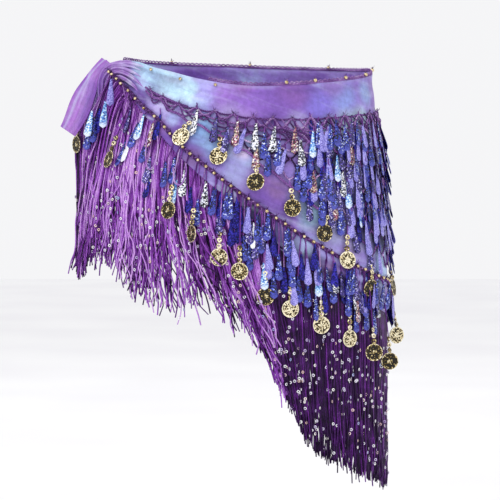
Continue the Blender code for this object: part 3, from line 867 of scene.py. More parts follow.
@dataclass(frozen=True)
class AntiqueCoin:
    """Stamped antique gold: bright on the raised ornament and black in its hollows."""

    name: str = "antique_gold"
    stops: str = "18 0c0805, 36 261b0c, 46 75602f, 58 c6ae6c, 80 fbf3d2"
    worn: str = "f1e8cc"

    def make(self) -> bpy.types.Material:
        """Builds the material; the point value raise is the stamping's height, and tone each coin's wear and,
        on the palest, a painted reflection.

        Returns:
            The material.
        """
        shader = Shader(self.name)
        wear, tone = shader.noise(620.0, 4.0), shader.value("tone")
        height = shader.value("raise") * 0.46 + 0.26 + (wear - 0.5) * 2.5 + tone.step(0.1, 1.0, -0.13, 0.18)
        # Partly wear, partly painted reflection: the palest coins are mixed towards pale champagne on their
        # raised parts.
        pale = tone.step(0.45, 1.0, 0.0, 0.7) * height.step(0.4, 0.66)
        shader.drive(Base_Color=shader.mix(pale, height.ramp(self.stops), self.worn),
                     Metallic=height.step(0.2, 0.45, 0.25, 0.85), Roughness=height.step(0.2, 0.8, 0.6, 0.26))
        shader.bump(height, 0.0004, 0.6)
        return shader.material


@dataclass(frozen=True)
class Glitter:
    """A teardrop sequin's foil: small cells that each catch the light in their own way."""

    name: str
    stops: str
    cell: float
    tilt: float
    metal: float
    roughness: float
    tip: str = ""
    coat: float = 0.2

    def make(self) -> bpy.types.Material:
        """Builds the material; the point value drop runs from the hole to the tip, and tone varies each one.

        Returns:
            The material.
        """
        shader = Shader(self.name, Metallic=self.metal, Coat_Roughness=0.12, Coat_Weight=self.coat)
        cells = {"Vector": shader.place(), "Scale": 1 / self.cell}
        cells = shader.node("ShaderNodeTexVoronoi", None, cells, "Color")
        chance = shader.vector("DOT_PRODUCT", cells, (1.0, 0.0, 0.0), "Value")
        pick = chance * 0.86 + (shader.noise(260.0) - 0.5) * 0.5 + shader.value("tone") * 0.16
        # The near-white top stop of the indigo and violet foils paints glints on some cells, beside the
        # tilted normals that catch real light.
        colour = pick.ramp(self.stops)
        if self.tip:
            colour = shader.mix(shader.value("drop").step(0.72, 0.97), colour, self.tip)
        lean = shader.vector("SCALE", shader.vector("SUBTRACT", cells, (0.5, 0.5, 0.5)), self.tilt)
        face = shader.node("ShaderNodeNewGeometry", output="Normal")
        shader.drive(Base_Color=colour, Normal=shader.vector("NORMALIZE", shader.vector("ADD", face, lean)),
                     Roughness=chance.step(0.2, 0.8, self.roughness * 0.7, self.roughness * 1.6))
        return shader.material


class Foil(Enum):
    """Finishes of the teardrop sequins: their letter, then the fields of Glitter from its stops on."""

    # The foil lettered L is the violet-blue sequin painted pale, as it looks with the pale surroundings
    # reflected in it: a painted reflection.
    LILAC = ("L", "10 544ca6, 50 837bd0, 88 b3adf0", 0.0007, 0.14, 0.15, 0.38)
    INDIGO = ("I", "20 050520, 46 161a70, 70 2a34a8, 86 5a6cde, 96 dfe8ff", 0.0012, 0.5, 0.35, 0.26, "4a4eb0")
    SILVER = ("S", "34 0a0a16, 46 40425c, 54 b9bdd6, 86 ffffff", 0.0013, 0.35, 0.35, 0.25)
    SKY = ("B", "12 1e3c8c, 35 4c86d4, 62 9cccf8, 85 f4faff", 0.0012, 0.35, 0.3, 0.28, "dfeaff")
    WHITE = ("W", "0 b9bed8, 50 f2f4ff, 90 ffffff", 0.001, 0.3, 0.3, 0.22)
    RUBY = ("R", "20 1c0822, 38 6a2048, 52 b4707c, 64 54488c, 80 c9b48c, 96 f6f0fa", 0.0013, 0.4, 0.35, 0.25)
    VIOLET = ("V", "20 0c0626, 52 281c6a, 80 5240a8, 96 d8d2ff", 0.0011, 0.45, 0.3, 0.28)
    # The foil lettered D is a dark copy of the sequins for those in shadow: painted shade.
    DUSK = ("D", "20 070530, 55 1a1678, 92 443cc0", 0.001, 0.35, 0.65, 0.4, "", 0.0)


# Clouds on the wrap: t, height, radius and colour. Most are dyed colour; the darkest, under the net and the
# teardrops from t 0.48 on, are painted shade.
DYE_AND_SHADE = rows(
    "105 50 180 bfe4f6, 205 -60 200 c8ecfb, 300 -220 160 c4e4f8, 130 -120 130 b0a6e4, 700 -900 280 302c56, "
    "850 -1100 340 221c42, 860 -1700 360 1e183c, 930 -1300 400 241e44, 780 -1700 260 3e3a6c, "
    "149 -20 240 b4dcf6, 236 -170 220 bfe6fb, 262 -80 140 bcdcf6, 335 -170 180 a69ce6, 425 -260 300 9a6cc8, "
    "470 -330 360 8c64c2, 564 -350 440 7a54ae, 290 -150 120 c4ecfb, 666 -350 280 8073d1, "
    "749 -290 220 8a9ade, 840 -230 170 879ad0, 434 -120 160 8c5ca8, 576 -170 220 875cad, "
    "716 -130 200 8f75bd, 44 80 150 734c9e, 175 -290 130 b9abe6, 213 -340 170 cdbff2, 293 -420 90 ccd9f2, "
    "346 -610 240 8cb8eb, 385 -770 220 99bfed, 434 -870 130 a6b2d4, 466 -870 110 d9c7e6, "
    "451 -1050 200 8d8dc8, 518 -1130 150 996bbd, 563 -1190 150 8c6eac, 613 -1340 180 8894ba, "
    "639 -1500 200 86aabf, 705 -1690 200 8c8cb8, 746 -1940 150 9980bf, 679 -1140 290 4c6b8c, "
    "801 -610 220 59808c, 786 -1360 240 575c8f, 230 -560 130 8c59b2, 335 -920 150 80619e, "
    "432 -1290 150 736b99, 500 -1520 160 34365a, 481 -1480 150 26264a, 530 -1660 180 3a4668, "
    "588 -1800 180 46587a, 632 -1890 90 7b98b2, 655 -2020 140 5a5480, 689 -2090 140 84659a, "
    "747 -2260 130 60748e, 551 -1260 140 7c5a94, 820 -2430 200 3a3c60, 173 -270 110 a997de, "
    "217 -400 120 b3a8e4, 255 -490 110 aab4e8, 313 -500 110 c2cbe8, 406 -500 200 b3a0dc, "
    "461 -550 180 9c7cc4, 600 -580 220 9a86c8, 695 -620 200 a9b6d8, 750 -580 200 b0c4da, "
    "805 -540 180 bccfe2", MILLI, TENTH, TENTH
)


class Finishes:
    """Every material of the scarf."""

    def __init__(self) -> None:
        """Makes them all."""
        clouds = tuple((FRONT, *row) for row in DYE_AND_SHADE) + tuple((BACK, *row) for row in DYE_AND_SHADE[::2])
        self.wrap = TieDye("tie_dyed_velvet", "28 6a469f, 42 8460b8, 53 9685cf, 64 a3b8e2, 75 b2d6ee",
                           clouds).make()
        self.tail = TieDye("purple_velvet", "25 7448a4, 42 925abc, 58 a96fc8, 76 c4a6e0", (), 26.0,
                           (1.0, 0.3, -0.42), 0.0).make()
        self.yarn = TwistedThread("crochet_yarn", "12 2a1040, 38 623680, 62 9c6aba, 88 e2cdf0", 0.003,
                                  twist_depth=0.62, fleck=1.3).make()
        self.braid = TwistedThread("braid_yarn", "15 220c36, 45 482060, 70 6e4188, 95 b090c4", 0.0034).make()
        self.cord = TwistedThread("cord_yarn", "10 34124f, 45 6a2c8c, 75 9c5cc0, 95 d2b4e6", 0.0026).make()
        self.fringe = TwistedThread("rayon_fringe", "2 1a0328, 26 3c1054, 52 762c9a, 76 a25ac8, 98 d0a0e6",
                                    0.004, (0.32, 0.56), 0.25).make()
        self.gold = Plain("bead_gold", "30 8a6a38, 62 f0deb4", 1.0, 0.0, (420.0, 3.0), (900.0, 0.16, 0.34),
                          0.0001).make()
        self.coin = AntiqueCoin().make()
        self.silver = Plain("silver_sequin", "0 b9a2d8, 30 ece8f6, 62 ffffff, 82 f1c9c0, 100 a9b8ee", 0.15,
                            0.4, None, (1800.0, 0.14, 0.36)).make()
        self.floor = Plain("studio_floor", "0 f2f1f4, 100 ffffff", cloud=(3.0, 1.0)).make()
        self.foils = {foil: Glitter(f"foil_{foil.name.lower()}", *foil.value[1:]).make() for foil in Foil}


# ---- cloth


@dataclass
class Piece:
    """What each piece of the scene has: the finishes, a mesh and the random numbers of its seed."""

    looks: Finishes
    seed = 0

    def __post_init__(self) -> None:
        """Starts the random numbers and the mesh."""
        self.rng = np.random.default_rng(self.seed)
        self.batch = MeshBatch(self.rng)


@dataclass(frozen=True)
class Crease:
    """A long crease of the wrap: a valley with a soft ridge beside it."""

    start_t: float
    start_z: float
    end_t: float
    end_z: float
    depth: float
    width: float
    bend: float

    def height(self, scale: float, t: Array, z: Array) -> Array:
        """Finds how far the crease moves the cloth outwards.

        Args:
            scale: Length of the half that it lies on.
            t: Places along the half.
            z: Heights.

        Returns:
            The distance outwards, below 0 in the valley.
        """
        reach, rise = (self.end_t - self.start_t) * scale, self.end_z - self.start_z
        length = hypot(reach, rise)
        right, up = reach / length, rise / length
        x, y = (t - self.start_t) * scale, z - self.start_z
        along = x * right + y * up
        run = np.clip(along / length, 0, 1)
        aside = y * right - x * up - self.bend * np.sin(pi * run)
        fade = hump(along - run * length, self.width * 2) * (1 - 0.75 * run)
        ridge = 0.38 * hump(aside - self.width * 2.2, self.width * 1.4)
        return self.depth * fade * (ridge - hump(aside, self.width))


@dataclass
class Wrap(Piece):
    """The triangular scarf round the hips, one closed sheet from the knot round the point and back."""

    creases: dict[Side, Sequence[Crease]]
    columns: dict[Side, int]
    upper_rows: int = 34
    band_rows: int = 14
    thickness: float = 0.0012
    waves: int = 14
    ripple: float = 0.00042
    fan: float = 0.0007
    hem_roll: float = 0.0007
    highest: float = 0.0016
    highest_by_trims: float = 0.0007
    seed: int = 11

    def folds(self, side: Side, t: Array, z: Array) -> Array:
        """Finds the height of creases, wrinkles and turned edge over the smooth wrap.

        Args:
            side: Front or back.
            t: Places along the half.
            z: Heights.

        Returns:
            The heights.
        """
        rng = np.random.default_rng(self.seed + len(side.name))
        x = t * side.length
        total = sum(crease.height(side.length, t, z) for crease in self.creases[side])
        for _ in range(self.waves):
            angle, wave = rng.normal(-0.5, 0.5), rng.uniform(55, 230)
            phase, slow = rng.uniform(0, TURN), rng.uniform(12, 30)
            turn = (x * sin(angle) + z * cos(angle)) * wave + 1.6 * np.sin(x * slow + phase)
            total += np.sin(turn + phase) * self.ripple * (60 / wave) * (0.6 + 0.4 * np.sin(x * slow * 2))
        fan = np.exp(-t / 0.1) * np.sin(34 * (z + 0.02) / (0.04 + t * 0.3) + 2.0 * np.sin(9 * t))
        down = side.line("top", t) - z
        rolled = hump(down, 0.0035) - 1.1 * hump(down - 0.0064, 0.0025)
        total = total + self.fan * fan * smooth_step(t, 0.02, 0.06) + self.hem_roll * rolled
        most = self.highest + (self.highest_by_trims - self.highest) * smooth_step(t, 0.1, 0.22)
        return np.where(total > 0, np.minimum(total, most), total)

    def half(self, side: Side) -> Axes:
        """Lays out one half's points.

        Args:
            side: Front or back.

        Returns:
            Outer points, inner points and fold heights, rows from the top down.
        """
        t = WRAP_START + (1 - WRAP_START) * shares(self.columns[side]) ** 1.25
        top, bead, hem = side.lines(t)
        upper = shares(self.upper_rows)[:, None] ** 1.15
        band = shares(self.band_rows + 1)[1:, None]
        z = np.concatenate([top + (bead - top) * upper, bead + (hem - bead) * band])
        t = np.broadcast_to(t, z.shape)
        folds = self.folds(side, t, z) * smooth_step(t, WRAP_START, WRAP_START + 0.02)
        return side.at(t, z, WALL + folds), side.at(t, z, WALL - self.thickness + folds), folds

    def build(self) -> None:
        """Makes and dresses the wrap."""
        halves = zip(self.half(FRONT), self.half(BACK))
        outer, inner, folds = (np.concatenate([front, back[:, ::-1][:, 1:]], 1) for front, back in halves)
        # Painted shade in the folds' valleys (crease) and painted highlight on their tops (shine).
        self.batch.add([outer, inner], [wall_faces(*folds.shape)],
                       crease=[np.clip(-folds / 0.0018, 0, 1)] * 2,
                       shine=[np.clip((folds - 0.0002) / 0.003, 0.0, 0.22)] * 2)
        made = self.batch.build("scarf_wrap", [self.looks.wrap], "cloth", ("wrap_front", "wrap_back"))


@dataclass
class Knot(Piece):
    """The tied lump, with the rolled folds of the wrap's edge that pass over it."""

    rolls: Rows
    rings: int = 46
    sides: int = 64
    squat: float = 0.8
    drop: float = 0.0025
    bulge: float = 0.0135
    swell: float = 0.0025
    plait: float = 0.05
    roll_rings: int = 44
    roll_sides: int = 20

    def surface(self, place: Array, turns: Array, swell: Array, weave: Array) -> Array:
        """Finds points of the knot.

        Args:
            place: From -1 on the back half to 1 on the front half.
            turns: Angle round the knot.
            swell: How full it is there, from 0 to 1.
            weave: The plait's wave there, from -1 to 1.

        Returns:
            The points.
        """
        ridge = 1.0 + 0.1 * swell * np.cos(3 * turns + 2 * place) + self.plait * swell * weave
        t = np.abs(place) * WRAP_START * 0.985
        points = []
        for side in Side:
            top, _, hem = side.lines(t)
            half_height = ((top - hem) / 2 + self.swell * swell) * self.squat
            half_depth = (WALL + self.bulge * swell) / 2
            z = (top + hem) / 2 - self.drop + half_height * np.sin(turns) * ridge
            points.append(form_point(side.angle(t), z, KNOT_LIFT + half_depth * (1 + np.cos(turns) * ridge)))
        return np.where((place >= 0)[..., None], *points)

    def roll(self, number: int) -> None:
        """Adds one rolled fold.

        Args:
            number: Which of the rolls.
        """
        radius, pale, points = self.rolls[number]
        path = rounded(rows(points, *POINT_UNITS), self.roll_rings)[None]
        share = shares(self.roll_rings)
        radii = radius * np.minimum(1.0, smooth_step(share, -0.1, 0.34) * 1.05) * (1 - 0.5 * share**4)
        rings, corners = sections(path, radii[None], (-0.45, -0.85, 0.3), self.roll_sides)
        gather = np.cos(4 * corners[None] + 5 * share[:, None] + 2 * number)
        rings = path[:, :, None] + (rings - path[:, :, None]) * (1 + 0.1 * gather)[None, ..., None]
        # Painted shade in the gathers' valleys and deeper on each lower roll; painted highlight on the
        # gathers' tops and on the first part of the upper rolls.
        dark = (np.clip(-gather, 0, 1) * 0.8 + 0.1 + 0.08 * number) * smooth_step(share, 0.0, 0.35)[:, None]
        pale = pale * (1 - smooth_step(share, 0.0, 0.45))[:, None]
        self.batch.add(rings, closed_faces(self.roll_rings, self.roll_sides), crease=dark,
                       shine=np.clip(0.2 * np.clip(gather, 0, 1) + pale, 0, 1))

    def build(self) -> None:
        """Makes and dresses the knot."""
        turns = np.linspace(0, TURN, self.sides, False)
        place, turns = np.meshgrid(np.linspace(-1, 1, self.rings), turns, indexing="ij")
        swell = np.sqrt(np.maximum(1 - place**2, 0.0))
        weave = np.sin(9 * turns + 5 * place + 1.2 * np.sin(2 * turns))
        depth = np.clip(-weave, 0, 1) * swell
        # Painted shade in the plait's valleys (crease) and a faint painted highlight on its ridges (shine).
        self.batch.add(self.surface(place, turns, swell, weave), closed_faces(self.rings, self.sides),
                       crease=depth * 0.9, shine=np.clip(1 - depth * 3, 0, 1) * 0.12)
        for number in range(len(self.rolls)):
            self.roll(number)
        self.batch.build("scarf_knot", [self.looks.tail], "knotted_cloth", ("knot",))


@dataclass
class Tail(Piece):
    """A free end of the scarf, folded as it hangs from the knot."""

    name: str
    node: str
    start_y: float
    end_y: float
    shift: tuple[float, float]
    length: float
    flat: tuple[float, float]
    tilt: float = 0.004
    phase: float = 0.0
    lit: float = 1.0
    rows: int = 70
    columns: int = 40
    turned: float = 0.1
    thickness: float = 0.0012

    def middle(self) -> Axes:
        """Lays out the sheet; its first rows lie behind its folded top.

        Returns:
            Its middle points, its normals and its fold heights.
        """
        path = np.linspace(-self.turned, self.length, self.rows)[:, None]
        behind, down = np.clip(-path / self.turned, 0, 1), np.clip(path, 0, 1)
        y = self.start_y + (self.end_y - self.start_y) * down + 0.0045 * np.sin(behind * pi / 2)
        edges = []
        for name, tilt in (("left", self.tilt), ("right", -self.tilt)):
            x, z = (curve_through(TAIL, f"{name}_{axis}", down) for axis in "xz")
            z = z - 0.012 * behind**2 - self.shift[1]
            edges.append(np.concatenate([x + self.shift[0] * down, y + tilt, z], axis=-1))
        left, right = edges
        centre, across = (left + right) / 2, unit(left - right)
        normal = unit(np.cross(across, unit(np.gradient(centre, axis=0))))[:, None]
        place = np.linspace(-1.0, 1.0, self.columns)
        width = np.linalg.norm(left - right, axis=-1, keepdims=True)
        main = 0.0011 * np.cos(1.5 * pi * place) * (0.4 + 0.6 * down / self.length) * (1 - behind)
        fine = np.sin(3.6 * pi * place + 2 * path + self.phase) * 0.0004
        fine = fine + np.sin(9 * pi * place - 5 * path) * 0.00015
        folds = main + fine * (0.5 + 0.8 * down)
        curl = 1.0 + 0.02 * np.sin(7 * path + 4 * place) * down
        aside = across[:, None] * (place * curl * width / 2)[..., None]
        middle = centre[:, None] + aside + normal * folds[..., None]
        return middle, np.broadcast_to(normal, middle.shape), folds

    def build(self) -> Array:
        """Makes and dresses the tail.

        Returns:
            The middle points across its free end.
        """
        middle, normal, folds = self.middle()
        half = normal * self.thickness / 2
        place = np.linspace(-1.0, 1.0, self.columns) * self.lit
        bend = 0.35 * shares(self.rows)[:, None]
        # Painted highlight: a bright streak along the tail and a fainter one beside it; the crease value
        # below paints shade into the folds' valleys.
        shine = 0.42 * hump(place - 0.45 - bend * 0.5, 0.16) + 0.1 * hump(place + 0.35, 0.3)
        self.batch.add([middle + half, middle - half], [wall_faces(self.rows, self.columns)],
                       crease=[np.clip((0.0002 - folds) / 0.005, 0.0, 0.5)] * 2, shine=[shine] * 2)
        made = self.batch.build(self.name, [self.looks.tail], "knotted_cloth", (self.node,))
        return middle[-1]


# ---- trims


@dataclass
class WaistEdging(Piece):
    """A crocheted chain along the waist edge, with small loops and a few gold beads."""

    side: Side
    start: float
    beads: Array
    low_beads: Rows
    seed: int
    radius: float = 0.0013
    step: float = 0.0006
    loop: float = 0.0062
    tuft: float = 0.003
    bead_radius: float = 0.0021

    def build(self) -> None:
        """Makes and dresses the edging."""
        rng, batch, side = self.rng, self.batch, self.side
        t, z = side.spaced("top", self.start, 0.9985, self.step)
        out = WALL / 2 + 0.0002
        face = side.outward(t, z)
        batch.yarn(side.at(t, z + 0.0008, out), face, self.radius, 0.0042, 3, 5)
        turn = pi * np.arange(len(t)) * self.step / self.loop
        rise = 0.0017 + 0.0016 * np.abs(np.sin(turn)) + rng.normal(0, 0.00004, len(t))
        loops = side.at(t, z + rise, out + 0.0006 * np.sin(2 * turn))
        batch.yarn(loops, face, self.radius * 0.62, 0.003, tone=0.6)
        for at in self.beads:
            centre = side.at(at, float(side.line("top", at)) + 0.003, WALL + 0.001)
            batch.bead(centre, self.bead_radius)
            batch.tuft(centre + 0.0012 * UP, UP, self.tuft)
        for at, z in self.low_beads:
            batch.bead(side.at(at, z, WALL + 0.0016), self.bead_radius * 0.85)
        finishes, node = [self.looks.yarn, self.looks.gold], f"waist_edging_{side.label}"
        batch.build(f"waist_crochet_{side.label}", finishes, "thread", (node,))


@dataclass
class BeadBraid(Piece):
    """The plait along the beaded line, with its gold beads and picots; it starts over the knot."""

    over_knot: Rows
    knot_beads: tuple[float, ...] = (0.1, 0.3, 0.53, 0.77)
    join: float = 0.09
    amplitude: float = 0.0015
    lift: float = 0.0007
    period: float = 0.0078
    radius: float = 0.00098
    middle: float = 0.00345
    step: float = 0.0006
    bead_radius: float = 0.0021
    picot: float = 0.0036
    near_step: float = 0.0145
    far_step: float = 0.0111
    seed: int = 6

    def build(self) -> None:
        """Makes and dresses the braid."""
        rng, batch = self.rng, self.batch
        front = FRONT.spaced("bead", self.join, 1.0, self.step)
        back = tuple(row[::-1][1:] for row in BACK.spaced("bead", WRAP_START, 1.0, self.step))
        start = rounded(self.over_knot, int(run_along(rounded(self.over_knot, 40))[-1] / self.step))
        centre = np.concatenate([start, FRONT.at(*front, self.middle), BACK.at(*back, self.middle)])
        knot_face = unit(np.array([-0.45, -0.88, 0.1]))
        face = np.concatenate([np.broadcast_to(knot_face, start.shape), FRONT.outward(*front),
                               BACK.outward(*back)])
        across = np.cross(unit(np.gradient(centre, axis=0)), face)
        turn = np.arange(len(centre))[:, None] * self.step * TURN / self.period
        phases = [turn + TURN * ply / 3 for ply in range(3)]
        strands = [centre + across * self.amplitude * np.sin(phase) + face * self.lift * np.sin(2 * phase)
                   for phase in phases]
        batch.tubes(np.array(strands)[:, ::2], self.radius, face[::2], 5, [0.3, 0.48, 0.66])
        spots = [(start[int(share * (len(start) - 1))], UP, knot_face) for share in self.knot_beads]
        for side in Side:
            near, _ = side.spaced("bead", 0.084, 0.25, self.near_step)
            far, _ = side.spaced("bead", 0.27, 0.997, self.far_step)
            for place in (*near, *far):
                low = float(side.line("bead", place)) + rng.normal(0, 0.0003)
                middle, (_, up, out) = side.axes(float(place), low, self.middle)
                spots.append((middle, up, out))
        for middle, up, out in spots:
            middle = middle + out * 0.0017
            batch.bead(middle, np.array([1, 1, 0.92]) * self.bead_radius * rng.uniform(0.88, 1.06))
            if rng.random() < 0.75:
                batch.tuft(middle + up * 0.0018 - out * 0.0004, up * 0.9 + out * 0.5, self.picot)
        batch.build("beaded_braid", [self.looks.braid, self.looks.gold], "thread", ("bead_braid",))


@dataclass
class Net(Piece):
    """Crocheted net of open diamonds: festoons of twisted yarn, each hooked to the row above."""

    pitch: float = 0.052
    radius: float = 0.0011
    twist: float = 0.0046
    out: float = 0.0035
    edge_radius: float = 0.0016
    edge_end: float = 0.66
    crowded: float = 0.7
    crowded_rows: int = 4
    slanted: int = 26
    widest: int = 16
    most_rows: int = 22
    tuft: float = 0.005
    seed: int = 5

    def vertex(self, column: float, row: int) -> tuple[float, float]:
        """Finds where a stitch of the net lies.

        Args:
            column: Its column; they count from the point towards the front.
            row: Its row, from the top.

        Returns:
            Its place from the point, below 0 on the back, and its height.
        """
        place = (column + (row % 2) / 2) * self.pitch
        t = 1 - abs(place)
        return place, float(curve_through(NET_LINES, "top", t) - row * curve_through(NET_ROW, "height", t))

    def over(self, place: Any, z: Any, out: Any) -> Pair:
        """Finds points over the wrap by their places from its point.

        Args:
            place: Places, below 0 on the back.
            z: Heights.
            out: Distances outwards.

        Returns:
            The points and the directions outwards.
        """
        t, front = 1 - np.abs(place), (place >= 0)[:, None]
        return (np.where(front, FRONT.at(t, z, out), BACK.at(t, z, out)),
                np.where(front, FRONT.outward(t, z), BACK.outward(t, z)))

    def runs(self, columns: Sequence[int]) -> list[list[int]]:
        """Columns in order, parted into unbroken runs."""
        parts = np.split(np.array(columns, int), np.flatnonzero(np.diff(columns) != 1) + 1)
        return [part.tolist() for part in parts if len(part)]

    def festoons(self, runs: list[list[int]], row: int, reach: int = 1) -> None:
        """Adds one row of the net.

        Args:
            runs: Unbroken lists of columns.
            row: Which row.
            reach: How many rows down the loops go; 0 makes a level chain.
        """
        for run in runs:
            stitches = []
            for number, column in enumerate(run):
                place, z = self.vertex(column, row)
                stitches.append((place, z + self.rng.normal(0, 0.00025)))
                if number < len(run) - 1 and reach:
                    place, z = self.vertex(column + row % 2, row + 1)
                    stitches.append((place, z + 0.0009 - (reach - 1) * 0.0055))
            places, heights = np.array(stitches).T
            last = len(stitches) - 1
            at = np.linspace(0, last, last * 12 + 1)
            low = np.minimum(np.floor(at).astype(int), last - 1)
            part = at - low
            ease = part - 0.1 * np.sin(TURN * part) * bool(reach)
            z = heights[low] * (1 - ease) + heights[low + 1] * ease
            z = z - (0.0007 if reach else 0.0016) * np.sin(pi * part)
            place = np.interp(at, np.arange(last + 1), places)
            path, face = self.over(place, z, self.out + 0.0003 * np.cos(pi * at))
            self.batch.yarn(path, face, self.radius, self.twist, tone=self.rng.uniform(0.02, 0.82),
                            phase=self.rng.random())

    def edges(self) -> None:
        """Adds the tufts and cords along the net's edges, and the slanting yarns towards the point."""
        rng, batch = self.rng, self.batch
        for column in range(-self.widest, self.widest + 1):
            place, z = self.vertex(column, 0)
            side = FRONT if place >= 0 else BACK
            centre, (_, up, face) = side.axes(1 - abs(place), z, self.out)
            batch.tuft(centre, up + face * 0.4, self.tuft)
        for side in Side:
            t = np.linspace(0.155, self.edge_end, 240)
            z = curve_through(NET_LINES, "low", t) - 0.0012 + 0.0012 * np.sin(t * 95)
            batch.yarn(side.at(t, z, self.out + 0.0004), side.outward(t, z), self.edge_radius, 0.0062, 3, 5)
            t = np.linspace(0.148, 0.3, 120)
            z = curve_through(NET_LINES, "top", t) - 0.0008 * np.sin((t - 0.13) * 40)
            batch.yarn(side.at(t, z, self.out + 0.0002), side.outward(t, z), self.radius * 1.25, 0.0052, 3, 5,
                       0.45)
        share = shares(24)
        for number in range(self.slanted):
            first = 0.5 + 0.46 * (number + rng.uniform(-0.2, 0.2)) / self.slanted
            t = np.minimum(first + rng.uniform(0.06, 0.11) * share, 0.998)
            fall = rng.uniform(0.02, 0.034) * (share + 0.1 * np.sin(TURN * share))
            z = curve_through(NET_LINES, "top", t) - fall
            path, face = FRONT.at(t, z, self.out + 0.0003), FRONT.outward(t, z)
            batch.yarn(path, face, self.radius * 0.85, self.twist, tone=rng.uniform(0.0, 0.6),
                       phase=rng.random())

    def build(self) -> Rows:
        """Makes and dresses the net.

        Returns:
            The lowest stitches, which small things hang from.
        """
        batch = self.batch
        kept = {(column, 0) for column in range(-self.widest, self.widest + 1)}
        lows, (points, faces) = [], ball(5, 6)
        run, around = points[:, 2] * 0.003, np.arctan2(points[:, 1], points[:, 0])
        for row in range(self.most_rows):
            following, used = set(), []
            for column in range(-self.widest - 1, self.widest + 1):
                if (column, row) not in kept or (column + 1, row) not in kept:
                    continue
                place, low = self.vertex(column + row % 2, row + 1)
                if row and low < curve_through(NET_LINES, "low", 1 - abs(place)):
                    continue
                following.add((column + row % 2, row + 1))
                used.append(column)
            spans = [[*span, span[-1] + 1] for span in self.runs(used)]
            level = spans
            if row:
                near = [column for span in spans for column in span if row < self.crowded_rows
                        and 1 - abs(self.vertex(column, row)[0]) < self.crowded]
                level = self.runs(near)
            self.festoons([span for span in level if len(span) > 1], row, 0)
            self.festoons(spans, row)
            if not row:
                self.festoons(spans, row, 2)
            for column, at_row in following:
                place, z = self.vertex(column, at_row)
                side, t = FRONT if place >= 0 else BACK, 1 - abs(place)
                size = np.array([0.0012, 0.001, 0.0015]) * self.rng.uniform(0.85, 1.15)
                batch.add(side.at(t, z, self.out + 0.0002) + points * size, faces,
                          tone=self.rng.uniform(0.3, 0.7), run=run, around=around)
                lows.append((side, t, z))
            if not following:
                break
            kept = following
        self.edges()
        batch.build("crochet_net", [self.looks.yarn], "thread", ("net",))
        return lows


# ---- what hangs


